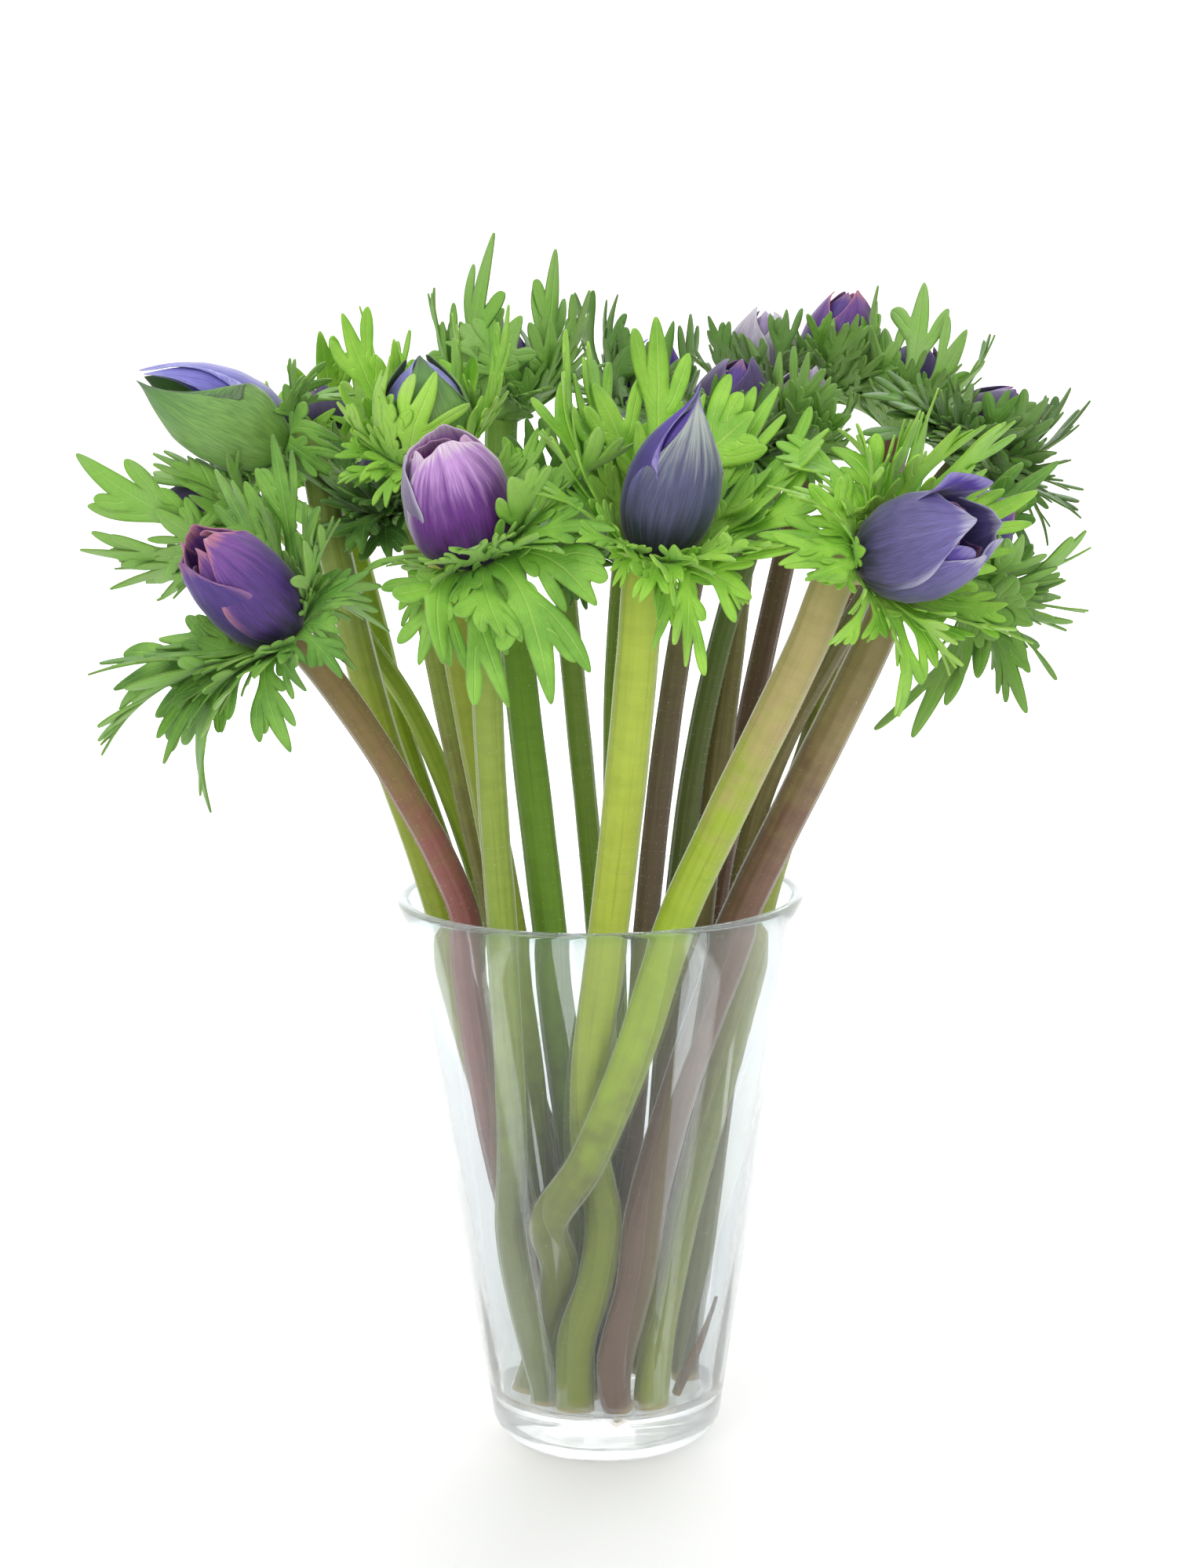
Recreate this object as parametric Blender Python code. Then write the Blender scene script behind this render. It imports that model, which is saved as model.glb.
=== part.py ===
"""Cut anemones standing in a tapered clear glass vase.

Frame: metres, +Z up, origin at the centre of the vase's foot, front towards -Y.
Every flower is three pieces: a stem, the collar of leaves under its bud, and the bud itself.
"""

import math

import bmesh
import bpy
import numpy as np
from mathutils import Matrix, Vector

MM = 0.001
GAP = 0.3 * MM

# The vase: outside radii from the foot up, wall and floor.
VASE_HEIGHT = 140 * MM
RIM_RADIUS = 50.2 * MM
LIP_FLARE = 1.0 * MM
HEEL_RADIUS = 28.9 * MM
HEEL_HEIGHT = 9 * MM
FOOT_RADIUS = 21.3 * MM
WALL = 2.8 * MM
FLOOR = 12 * MM
INNER_CORNER = 4 * MM
VASE_SIDES = 36

# Stems and buds.
STEM_BEVEL_RESOLUTION = 2  # eight sides
STEM_JOINTS = 16  # the rings of a stem, from its foot to its bud
ANKLE = 4 * MM  # the straight start of a stem, square to the floor
NECK = 8 * MM  # the straight end of a stem, in line with its bud
STEM_SPARE = 0.45 * MM  # room kept between settled stems
SETTLING_ROUNDS = 300
HOLD = 0.02  # how strongly a settling stem keeps to its route
STIFFNESS = 0.08  # how strongly it keeps smooth
SETTLED = 0.05 * MM
BUD_SIDES = 8
# A bud's outline from base to tip: shares of its length, and of its widest radius there.
BUD_PROFILE = ((0.0, 0.36), (0.1, 0.72), (0.28, 0.96), (0.48, 1.0), (0.68, 0.86), (0.86, 0.55), (1.0, 0.16))
BUD_SHARES = [share for share, _ in BUD_PROFILE[1:]]

# Leaf collars: three bracts, each cut into three lobes.
LOBES = 9
COLLAR_DROP = 3 * MM  # how far under the bud the collar grows
COLLAR_BAND = 3.6 * MM  # the collar's ring, out from the stem
LEAF_THICKNESS = 0.8 * MM
LOBE_STATIONS = (0.3, 0.66, 1.0)  # shares of a lobe's length
LOBE_WIDTHS = (7.0 * MM, 7.5 * MM, 1.8 * MM)  # at the stations
TOOTH_STATIONS = (0.62, 0.72)  # where a lobe's side teeth end
TOOTH_SPREAD = 0.24  # how far aside, as a share of the lobe's length
SHORTEST_LOBE = 9 * MM
SHORTEST_TOOTHED = 24 * MM
LEAF_SPARE = 1.6 * MM

# One row for each flower, in millimetres: the stem's route from foot to bud, the bud's tip, the
# stem's radius at foot and at bud, the bud's length and radius, and the collar's reach, its
# opening in degrees from the bud's axis and its sag at the lobes' ends.
FLOWERS = {
    "left_front": dict(
        route=[(-16, -6), (-26, -18, 76), (-33, -25, 130), (-40, -32, 163), (-53, -45, 194),
               (-62, -53, 206), (-71, -60, 214)],
        tip=(-92, -72, 238), stem=(4.0, 3.7), bud=(33, 11.3), collar=(50, 84, 12),
    ),
    "left_top": dict(
        route=[(-12, 10), (-24, 2, 81), (-40, 0, 130), (-53, 2, 162), (-60, 8, 190),
               (-63, 11, 217), (-69, 11, 240), (-76, 10, 251)],
        tip=(-110, 4, 268), stem=(4.4, 4.2), bud=(40, 12.5), collar=(38, 84, 4),
    ),
    "left_back": dict(
        route=[(-13, 15), (-21, 12, 68), (-30, 12, 124), (-36, 13, 150), (-44, 18, 172),
               (-53, 26, 199), (-61, 33, 224), (-65, 37, 240)],
        tip=(-70, 42, 264), stem=(3.3, 3.1), bud=(25, 11.0), collar=(34, 80, 2),
    ),
    "green_bud": dict(
        route=[(-6, 2), (-14, -8, 73), (-19, -17, 130), (-25, -22, 160), (-31, -22, 178),
               (-34, -22, 203), (-36, -22, 230), (-39, -22, 248)],
        tip=(-41, -26, 276), stem=(3.8, 3.8), bud=(28, 12.0), collar=(34, 74, 2),
    ),
    "magenta": dict(
        route=[(-14, -12), (-19, -20, 77), (-22, -30, 120), (-25, -38, 151), (-26, -44, 180),
               (-26, -49, 207), (-28, -52, 229)],
        tip=(-36, -61, 259), stem=(3.6, 3.7), bud=(32, 13.2), collar=(40, 88, 8),
    ),
    "top_centre": dict(
        route=[(-7, -9), (-7, -8, 61), (-11, -8, 110), (-13, -12, 140), (-16, -10, 169),
               (-20, 0, 194), (-22, 14, 224), (-22, 28, 256)],
        tip=(-22, 33, 281), stem=(4.6, 4.2), bud=(25, 10.0), collar=(36, 56, 0),
    ),
    "left_middle": dict(
        route=[(-4, 16), (-13, 6, 76), (-23, -4, 119), (-29, -8, 148), (-35, -4, 172),
               (-41, 3, 202), (-46, 9, 231)],
        tip=(-52, 15, 254), stem=(3.0, 3.0), bud=(24, 10.0), collar=(34, 84, 5),
    ),
    "back_middle": dict(
        route=[(2, 17), (3, 10, 74), (0, 6, 126), (-3, 9, 159), (-6, 14, 188), (-8, 18, 222)],
        tip=(-8, 18, 246), stem=(3.2, 3.0), bud=(24, 10.0), collar=(32, 80, 4),
    ),
    "back_violet": dict(
        route=[(7, 20), (5, 21, 82), (3, 27, 132), (2, 33, 163), (2, 42, 190), (6, 52, 223), (12, 58, 252)],
        tip=(18, 60, 274), stem=(2.6, 2.5), bud=(23, 9.0), collar=(32, 76, 2),
    ),
    "centre_front": dict(
        route=[(-13, -14), (-12, -22, 67), (-4, -32, 104), (2, -39, 134), (6, -46, 167),
               (9, -53, 200), (13, -60, 231)],
        tip=(24, -69, 269), stem=(4.6, 5.1), bud=(38, 11.6), collar=(42, 86, 5),
    ),
    "dark_back": dict(
        route=[(3, 6), (6, 2, 70), (10, -8, 129), (14, -6, 168), (18, -2, 200), (24, 1, 228), (30, 4, 246)],
        tip=(37, 6, 272), stem=(3.3, 3.2), bud=(27, 11.0), collar=(32, 72, 2),
    ),
    "pale_middle": dict(
        route=[(12, 10), (15, 8, 85), (18, 6, 140), (21, 10, 171), (26, 14, 198), (36, 18, 224),
               (46, 20, 244)],
        tip=(55, 22, 268), stem=(3.0, 3.0), bud=(26, 10.0), collar=(30, 74, 2),
    ),
    "pale_top": dict(
        route=[(16, 14), (20, 10, 94), (25, 8, 143), (30, 12, 174), (35, 19, 203), (39, 31, 234),
               (41, 44, 258)],
        tip=(44, 47, 282), stem=(3.8, 3.6), bud=(24, 10.0), collar=(30, 70, 0),
    ),
    "violet_top": dict(
        route=[(18, 20), (23, 17, 83), (29, 21, 143), (37, 31, 177), (46, 40, 212),
               (54, 47, 245), (59, 51, 259)],
        tip=(66, 54, 285), stem=(3.3, 3.2), bud=(28, 10.0), collar=(32, 72, 0),
    ),
    "right_front": dict(
        route=[(-17, -7), (-13, -21, 56), (1, -33, 92), (13, -38, 120), (22, -39, 149),
               (35, -44, 180), (51, -55, 207), (62, -62, 228)],
        tip=(90, -77, 238), stem=(4.6, 5.0), bud=(33, 13.0), collar=(38, 88, 6),
    ),
    "right_upper": dict(
        route=[(19, 7), (27, 4, 65), (34, 4, 115), (41, 5, 154), (47, 8, 180), (58, 12, 203),
               (75, 16, 226), (90, 18, 243)],
        tip=(106, 20, 262), stem=(3.0, 2.8), bud=(25, 10.0), collar=(40, 82, 2),
    ),
    "right_side": dict(
        route=[(-3, -19), (6, -19, 56), (14, -18, 93), (28, -19, 125), (39, -20, 151),
               (52, -26, 176), (66, -30, 203), (78, -31, 224)],
        tip=(100, -30, 240), stem=(4.7, 4.8), bud=(26, 10.5), collar=(46, 92, 14),
    ),
    "right_back": dict(
        route=[(7, -18), (17, -10, 57), (29, -1, 99), (39, 2, 134), (46, 7, 159), (55, 18, 187),
               (66, 30, 217), (78, 46, 250)],
        tip=(85, 52, 274), stem=(4.4, 3.6), bud=(24, 10.0), collar=(40, 74, 0),
    ),
    "far_left": dict(
        route=[(-3, 20), (-11, 18, 72), (-22, 18, 112), (-31, 20, 142), (-41, 24, 171),
               (-53, 24, 199), (-67, 21, 218), (-84, 17, 231)],
        tip=(-107, 18, 240), stem=(2.7, 2.6), bud=(24, 9.5), collar=(40, 88, 6),
    ),
}

# A dry leaf stalk that has dropped into the vase, in millimetres: foot, bend and top.
FALLEN_STALK = ((17.5, -10.5, 13.7), (22.0, -12.0, 26.0), (26.5, -13.0, 40.0))
FALLEN_STALK_RADIUS = 1.1 * MM

COLOURS = {
    "clear_glass": ((0.93, 0.96, 0.96), 0.03),
    "green_stem": ((0.33, 0.46, 0.10), 0.6),
    "leaf_green": ((0.16, 0.38, 0.07), 0.6),
    "violet_petal": ((0.17, 0.10, 0.36), 0.55),
    "dry_stalk": ((0.36, 0.24, 0.13), 0.8),
}


def clear_scene():
    for thing in list(bpy.data.objects):
        bpy.data.objects.remove(thing)


def material(name):
    """The named finish, made the first time that it is asked for."""
    found = bpy.data.materials.get(name)
    if found is not None:
        return found
    colour, roughness = COLOURS[name]
    made = bpy.data.materials.new(name)
    made.use_nodes = True
    shader = made.node_tree.nodes["Principled BSDF"]
    shader.inputs["Base Color"].default_value = (*colour, 1.0)
    shader.inputs["Roughness"].default_value = roughness
    if name == "clear_glass":
        shader.inputs["Transmission Weight"].default_value = 1.0
    return made


def node_from(bm, name, finish, sharp_deg=40):
    """Turns a bmesh into a named object with smooth round faces."""
    bmesh.ops.recalc_face_normals(bm, faces=bm.faces)
    mesh = bpy.data.meshes.new(name)
    bm.to_mesh(mesh)
    bm.free()
    mesh.shade_smooth()
    mesh.set_sharp_from_angle(angle=math.radians(sharp_deg))
    mesh.materials.append(material(finish))
    obj = bpy.data.objects.new(name, mesh)
    bpy.context.scene.collection.objects.link(obj)
    return obj


def cone_radius(height):
    """The vase's outside radius on its straight side, at a height above the foot."""
    rise = (height - HEEL_HEIGHT) / (VASE_HEIGHT - HEEL_HEIGHT)
    return HEEL_RADIUS + (RIM_RADIUS - LIP_FLARE - HEEL_RADIUS) * rise


def arc(centre, radius, start_deg, end_deg, steps):
    """Points on an arc in the profile's plane, as (distance from axis, height)."""
    angles = np.radians(np.linspace(start_deg, end_deg, steps))
    return [(centre[0] + radius * math.cos(a), centre[1] + radius * math.sin(a)) for a in angles]


def vase_profile():
    """Half the vase's section, from the middle of the foot round the rim to the middle of the floor."""
    heel = arc((HEEL_RADIUS - HEEL_HEIGHT, HEEL_HEIGHT), HEEL_HEIGHT, -78, 0, 5)
    lip_radius = WALL / 2
    lip = arc((RIM_RADIUS - lip_radius, VASE_HEIGHT - lip_radius), lip_radius, 0, 180, 6)
    below_lip = (cone_radius(VASE_HEIGHT - 5 * MM), VASE_HEIGHT - 5 * MM)
    inner_top = (below_lip[0] - WALL, below_lip[1])
    corner_height = FLOOR + INNER_CORNER
    corner_radius = cone_radius(corner_height) - WALL
    corner = arc((corner_radius - INNER_CORNER, corner_height), INNER_CORNER, 0, -90, 4)
    return [(0, 0), (FOOT_RADIUS, 0), *heel, below_lip, *lip, inner_top, *corner, (0, FLOOR)]


def make_vase():
    bm = bmesh.new()
    points = [bm.verts.new((radius, 0, height)) for radius, height in vase_profile()]
    edges = [bm.edges.new(pair) for pair in zip(points, points[1:])]
    bmesh.ops.spin(
        bm, geom=points + edges, axis=(0, 0, 1), cent=(0, 0, 0), steps=VASE_SIDES,
        angle=2 * math.pi, use_merge=True,
    )
    bmesh.ops.remove_doubles(bm, verts=bm.verts, dist=0.001 * MM)
    bmesh.ops.dissolve_degenerate(bm, dist=0.001 * MM, edges=bm.edges)
    return node_from(bm, "vase", "clear_glass")


def smooth_curve(points, count):
    """Evenly spaced points on a Catmull-Rom curve through the given points."""
    knots = np.vstack([2 * points[0] - points[1], points, 2 * points[-1] - points[-2]])
    dense = []
    for a, b, c, d in zip(knots, knots[1:], knots[2:], knots[3:]):
        for t in np.linspace(0, 1, 16, endpoint=False):
            bend = (2 * a - 5 * b + 4 * c - d) * t**2 + (3 * b - a - 3 * c + d) * t**3
            dense.append(0.5 * ((2 * b) + (c - a) * t + bend))
    dense = np.array([*dense, points[-1]])
    along = np.concatenate([[0], np.cumsum(np.linalg.norm(np.diff(dense, axis=0), axis=1))])
    places = np.linspace(0, along[-1], count)
    return np.stack([np.interp(places, along, dense[:, k]) for k in range(3)], axis=1)


class Flower:
    """One flower's centre line: a chain of joints up the stem and on through the bud."""

    def __init__(self, name, row):
        self.name = name
        route = [(*row["route"][0], (FLOOR + GAP) / MM), *row["route"][1:]]
        route = np.array(route, float) * MM
        self.bud_length, self.bud_width = (v * MM for v in row["bud"])
        self.stem_radii = [v * MM for v in row["stem"]]
        self.reach, self.opening, self.sag = row["collar"]
        base = route[-1]
        axis = np.array(row["tip"]) * MM - base
        axis /= np.linalg.norm(axis)
        rising = smooth_curve(np.vstack([route[:-1], base - axis * NECK]), STEM_JOINTS - 2)
        bud = [base + axis * self.bud_length * share for share in BUD_SHARES]
        self.joints = np.vstack([rising[0], rising, base, bud])
        self.straighten()
        self.wanted = self.joints.copy()
        self.radii = np.linspace(*self.stem_radii, STEM_JOINTS)
        self.sizes = np.concatenate([self.radii, [r * self.bud_width for _, r in BUD_PROFILE[1:]]])
        self.sizes[STEM_JOINTS - 2 : STEM_JOINTS] += COLLAR_BAND

    @property
    def base(self):
        return self.joints[STEM_JOINTS - 1]

    @property
    def axis(self):
        line = self.joints[-1] - self.base
        return line / np.linalg.norm(line)

    @property
    def collar_centre(self):
        return self.base - self.axis * COLLAR_DROP

    def straighten(self):
        """Cuts the foot square on the floor, and lines the stem's last stretch up with the bud."""
        self.joints[:2, :2] = self.joints[:2, :2].mean(axis=0)
        self.joints[:2, 2] = FLOOR + GAP, FLOOR + GAP + ANKLE
        top = self.joints[STEM_JOINTS - 2 :]
        places = np.array([-NECK, 0, *(self.bud_length * share for share in BUD_SHARES)])[:, None]
        slope = ((places - places.mean()) * (top - top.mean(axis=0))).sum(axis=0)
        axis = slope / np.linalg.norm(slope)
        top[:] = top.mean(axis=0) + axis * (places - places.mean())

    def beads(self, first):
        """Closely spaced points on the chain from a joint on, and the chain's radius at each."""
        places = np.linspace(first, len(self.joints) - 1, 6 * (len(self.joints) - first))
        steps = np.arange(len(self.joints))
        points = np.stack([np.interp(places, steps, self.joints[:, k]) for k in range(3)], axis=1)
        return points, np.interp(places, steps, self.sizes)


def nearest_shares(start_a, line_a, start_b, line_b):
    """Where each pair of straight stretches comes closest, as shares of their lengths."""
    between = start_a - start_b
    aa, bb = (line_a**2).sum(-1), (line_b**2).sum(-1)
    ab = (line_a * line_b).sum(-1)
    a_off, b_off = (line_a * between).sum(-1), (line_b * between).sum(-1)
    share_a = np.clip((ab * b_off - a_off * bb) / np.maximum(aa * bb - ab**2, 1e-16), 0, 1)
    share_b = np.clip((ab * share_a + b_off) / bb, 0, 1)
    return np.clip((ab * share_b - a_off) / aa, 0, 1), share_b


def push_apart(flowers):
    """Pushes every chain off the others that it comes too close to. Returns the worst overlap."""
    starts = np.vstack([f.joints[:-1] for f in flowers])[:, None]
    lines = np.vstack([np.diff(f.joints, axis=0) for f in flowers])[:, None]
    sizes = np.concatenate([f.sizes[:-1] for f in flowers])[:, None]
    growth = np.concatenate([np.diff(f.sizes) for f in flowers])[:, None]
    owner = np.repeat(np.arange(len(flowers)), [len(f.sizes) - 1 for f in flowers])[:, None]
    share_a, share_b = nearest_shares(starts, lines, starts.swapaxes(0, 1), lines.swapaxes(0, 1))
    nearest = starts + lines * share_a[..., None]
    apart = nearest - (starts + lines * share_b.T[..., None]).swapaxes(0, 1)
    distance = np.linalg.norm(apart, axis=2) + 1e-9
    size = sizes + growth * share_a
    depth = np.maximum(size + (sizes + growth * share_b.T).T + STEM_SPARE - distance, 0) * (owner != owner.T)
    push = apart / distance[..., None] * (depth**2)[..., None] * 0.5
    first = 0
    for flower in flowers:
        rows = slice(first, first + len(flower.sizes) - 1)
        first = rows.stop
        moves = np.zeros_like(flower.joints)
        weights = np.full(len(flower.joints), 1e-9)
        for ends, share in ((slice(0, -1), 1 - share_a[rows]), (slice(1, None), share_a[rows])):
            moves[ends] += (push[rows] * share[..., None]).sum(axis=1)
            weights[ends] += (depth[rows] * share).sum(axis=1)
        flower.joints += moves / weights[:, None]
    return depth.max()


def keep_in_glass(flower):
    """Pushes the joints below the rim, and the stem where it leaves the rim, off the vase's wall."""
    joints = flower.joints
    room = cone_radius(np.maximum(joints[:, 2], FLOOR + INNER_CORNER)) - WALL * 1.2
    room -= flower.sizes * 1.06 + GAP
    room[:2] -= INNER_CORNER * 0.6
    inside = joints[:, 2] < VASE_HEIGHT
    from_axis = np.linalg.norm(joints[:, :2], axis=1) + 1e-9
    excess = np.where(inside, np.maximum(from_axis - room, 0), 0)
    joints[:, :2] -= joints[:, :2] / from_axis[:, None] * excess[:, None]
    last = np.flatnonzero(inside)[-1]
    rise = (VASE_HEIGHT - joints[last, 2]) / (joints[last + 1, 2] - joints[last, 2])
    crossing = joints[last, :2] + (joints[last + 1, :2] - joints[last, :2]) * rise
    from_axis = np.linalg.norm(crossing)
    room = cone_radius(VASE_HEIGHT) - WALL * 1.2 - flower.sizes[last] * 1.08 - GAP
    joints[last : last + 2, :2] -= crossing / from_axis * max(from_axis - room, 0)


def settle(flowers):
    """Moves crossing stems and crowded buds apart, as they come to rest against each other."""
    for round_number in range(SETTLING_ROUNDS):
        worst = push_apart(flowers)
        resting = round_number > SETTLING_ROUNDS / 2
        if resting and worst < SETTLED:
            break
        for flower in flowers:
            if not resting:
                flower.joints += (flower.wanted - flower.joints) * HOLD
                stem = flower.joints[:STEM_JOINTS]
                stem[2:-2] += STIFFNESS * (stem[1:-3] + stem[3:-1] - 2 * stem[2:-2])
            keep_in_glass(flower)
            flower.straighten()


def make_stem(flower):
    curve = bpy.data.curves.new("stem_" + flower.name, "CURVE")
    curve.dimensions = "3D"
    curve.bevel_depth = 1.0
    curve.bevel_resolution = STEM_BEVEL_RESOLUTION
    curve.use_fill_caps = True
    line = curve.splines.new("POLY")
    line.points.add(STEM_JOINTS - 1)
    for point, joint, radius in zip(line.points, flower.joints, flower.radii):
        point.co = (*joint, 1)
        point.radius = radius
    curve.materials.append(material("green_stem"))
    obj = bpy.data.objects.new("stem_" + flower.name, curve)
    bpy.context.scene.collection.objects.link(obj)


def frame_along(axis):
    """A rotation that turns +Z to the given axis."""
    return Vector(axis).to_track_quat("Z", "Y").to_matrix().to_4x4()


def make_bud(flower):
    """A closed bud: a turned shape with a blunt tip, standing just off the end of its stem."""
    bm = bmesh.new()
    profile = [(0, BUD_PROFILE[0][0])] + [(r, s) for s, r in BUD_PROFILE] + [(0, BUD_PROFILE[-1][0])]
    points = [
        bm.verts.new((radius * flower.bud_width, 0, GAP + share * flower.bud_length))
        for radius, share in profile
    ]
    edges = [bm.edges.new(pair) for pair in zip(points, points[1:])]
    bmesh.ops.spin(
        bm, geom=points + edges, axis=(0, 0, 1), cent=(0, 0, 0), steps=BUD_SIDES,
        angle=2 * math.pi, use_merge=True,
    )
    bmesh.ops.remove_doubles(bm, verts=bm.verts, dist=0.001 * MM)
    place = Matrix.Translation(flower.base) @ frame_along(flower.axis)
    bmesh.ops.transform(bm, matrix=place, verts=bm.verts)
    node_from(bm, "bud_" + flower.name, "violet_petal", 70)


def lobe_point(flower, turn, share, aside, reach):
    """A point on a leaf lobe: at a share of its length, and so far to the side of its midrib."""
    across = frame_along(flower.axis).to_3x3()
    out = np.array(across @ Vector((math.cos(turn), math.sin(turn), 0)))
    sideways = np.array(across @ Vector((-math.sin(turn), math.cos(turn), 0)))
    root = flower.stem_radii[1] + GAP + COLLAR_BAND
    opening = math.radians(flower.opening)
    place = flower.collar_centre + out * (root + reach * share * math.sin(opening))
    place = place + flower.axis * reach * share**2 * math.cos(opening)
    place = place - np.array([0, 0, flower.sag * MM * share**2])
    return Vector(place + sideways * aside)


def lobe_edges(flower, turn, reach):
    """The two corners of each step along a lobe, from its root out."""
    steps = zip(LOBE_STATIONS, LOBE_WIDTHS)
    return [[lobe_point(flower, turn, s, side * w / 2, reach) for side in (-1, 1)] for s, w in steps]


def tooth_edges(flower, turn, reach):
    """The two corners of the tooth on each side of a lobe, or nothing on a short lobe."""
    if reach < SHORTEST_TOOTHED:
        return []
    aside = reach * TOOTH_SPREAD
    return [
        [lobe_point(flower, turn, share, side * aside, reach) for share in TOOTH_STATIONS] for side in (-1, 1)
    ]


def is_free(point, flower, others):
    """Whether a leaf may be at a point: nearer its own collar than any other, and clear of the rest."""
    own = np.linalg.norm(point - flower.collar_centre)
    if point[2] < VASE_HEIGHT + 6 * MM:
        return False
    for other in others:
        if other is not flower and np.linalg.norm(point - other.collar_centre) - own < 2 * LEAF_SPARE:
            return False
        points, sizes = other.bud_beads if other is flower else other.all_beads
        if (np.linalg.norm(points - point, axis=1) - sizes).min() < LEAF_SPARE:
            return False
    return True


def lobe_reach(flower, turn, others):
    """The longest reach that leaves a lobe clear of its neighbours, or none."""
    reach = flower.reach * MM
    while reach >= SHORTEST_LOBE:
        outline = sum(lobe_edges(flower, turn, reach) + tooth_edges(flower, turn, reach), [])
        midrib = [lobe_point(flower, turn, share, 0, reach) for share in np.linspace(0.1, 0.9, 9)]
        if all(is_free(np.array(place), flower, others) for place in outline + midrib):
            return reach
        reach -= 2.5 * MM
    return None


def grow(bm, pair, corners):
    """Extrudes the edge between two vertices to two corners. Returns the new vertices."""
    grown = bmesh.ops.extrude_edge_only(bm, edges=[bm.edges.get(pair)])["geom"]
    new = [v for v in grown if isinstance(v, bmesh.types.BMVert)]
    new.sort(key=lambda v: (v.co - pair[0].co).length)
    for vertex, corner in zip(new, corners):
        vertex.co = corner
    return new


def make_collar(flower, others):
    """A ring round the stem, with leaf lobes extruded from its rim as far as there is room."""
    bm = bmesh.new()
    inner = flower.stem_radii[1] * 1.02 + GAP
    outer = flower.stem_radii[1] + GAP + COLLAR_BAND
    ring = bmesh.ops.create_circle(bm, segments=2 * LOBES, radius=inner)["verts"]
    widened = bmesh.ops.extrude_edge_only(bm, edges=bm.edges[:])["geom"]
    rim = [v for v in widened if isinstance(v, bmesh.types.BMVert)]
    bmesh.ops.scale(bm, vec=(outer / inner, outer / inner, 1), verts=rim)
    rim.sort(key=lambda v: math.atan2(v.co.y, v.co.x))
    roots = [(first, second, (first.co + second.co) / 2) for first, second in zip(rim[::2], rim[1::2])]
    turns = [math.atan2(middle.y, middle.x) for _, _, middle in roots]
    place = Matrix.Translation(flower.collar_centre) @ frame_along(flower.axis)
    bmesh.ops.transform(bm, matrix=place, verts=ring + rim)
    for (first, second, _), turn in zip(roots, turns):
        reach = lobe_reach(flower, turn, others)
        if reach is None:
            continue
        pairs = [[first, second]]
        for corners in lobe_edges(flower, turn, reach):
            pairs.append(grow(bm, pairs[-1], corners))
        for side, corners in enumerate(tooth_edges(flower, turn, reach)):
            grow(bm, [pairs[1][side], pairs[2][side]], corners)
    obj = node_from(bm, "leaves_" + flower.name, "leaf_green")
    blade = obj.modifiers.new("blade", "SOLIDIFY")
    blade.thickness = LEAF_THICKNESS
    blade.offset = 0.0


def make_fallen_stalk():
    curve = bpy.data.curves.new("fallen_stalk", "CURVE")
    curve.dimensions = "3D"
    curve.bevel_depth = 1.0
    curve.bevel_resolution = 1
    curve.use_fill_caps = True
    line = curve.splines.new("POLY")
    line.points.add(len(FALLEN_STALK) - 1)
    for point, place, share in zip(line.points, FALLEN_STALK, (1.15, 0.9, 0.5)):
        point.co = (*(v * MM for v in place), 1)
        point.radius = FALLEN_STALK_RADIUS * share
    curve.materials.append(material("dry_stalk"))
    obj = bpy.data.objects.new("fallen_stalk", curve)
    bpy.context.scene.collection.objects.link(obj)


def main():
    clear_scene()
    make_vase()
    flowers = [Flower(name, row) for name, row in FLOWERS.items()]
    settle(flowers)
    for flower in flowers:
        flower.all_beads = flower.beads(0)
        flower.bud_beads = flower.beads(STEM_JOINTS)
    for flower in flowers:
        make_stem(flower)
        make_bud(flower)
        make_collar(flower, flowers)
    make_fallen_stalk()


main()
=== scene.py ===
"""Cut anemones in a tapered clear glass vase, on a pale studio floor.

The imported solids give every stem's route, every bud's place and the vase's size. The pieces made
here stand for them: ridged downy stems, finely cut leaves, silky petals and thick clear glass.
"""

import math
import random

import bmesh
import bpy
import numpy as np
from bpy.props import FloatProperty, FloatVectorProperty, IntProperty, PointerProperty
from mathutils import Matrix, Vector


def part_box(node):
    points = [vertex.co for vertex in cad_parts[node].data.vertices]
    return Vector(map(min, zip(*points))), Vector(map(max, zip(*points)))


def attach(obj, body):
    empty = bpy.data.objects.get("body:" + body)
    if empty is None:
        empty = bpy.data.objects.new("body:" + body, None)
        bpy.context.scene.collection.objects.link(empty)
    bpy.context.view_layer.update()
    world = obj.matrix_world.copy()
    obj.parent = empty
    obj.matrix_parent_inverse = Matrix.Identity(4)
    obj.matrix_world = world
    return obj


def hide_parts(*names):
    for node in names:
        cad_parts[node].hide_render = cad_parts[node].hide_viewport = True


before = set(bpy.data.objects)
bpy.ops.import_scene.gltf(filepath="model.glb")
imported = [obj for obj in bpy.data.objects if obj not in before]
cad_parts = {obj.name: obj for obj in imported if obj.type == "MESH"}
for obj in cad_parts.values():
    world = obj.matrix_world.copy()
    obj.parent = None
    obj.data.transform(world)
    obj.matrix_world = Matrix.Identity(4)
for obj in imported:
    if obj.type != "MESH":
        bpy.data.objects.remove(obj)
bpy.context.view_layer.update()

bl_info = {
    "name": "Anemones in a Glass Vase",
    "version": (1, 0, 0),
    "blender": (4, 5, 0),
    "location": "3D View > Sidebar > Anemones",
    "description": "Stems, leaves, buds, glass vase and studio for a vase of anemones",
    "category": "Add Mesh",
}

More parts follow.
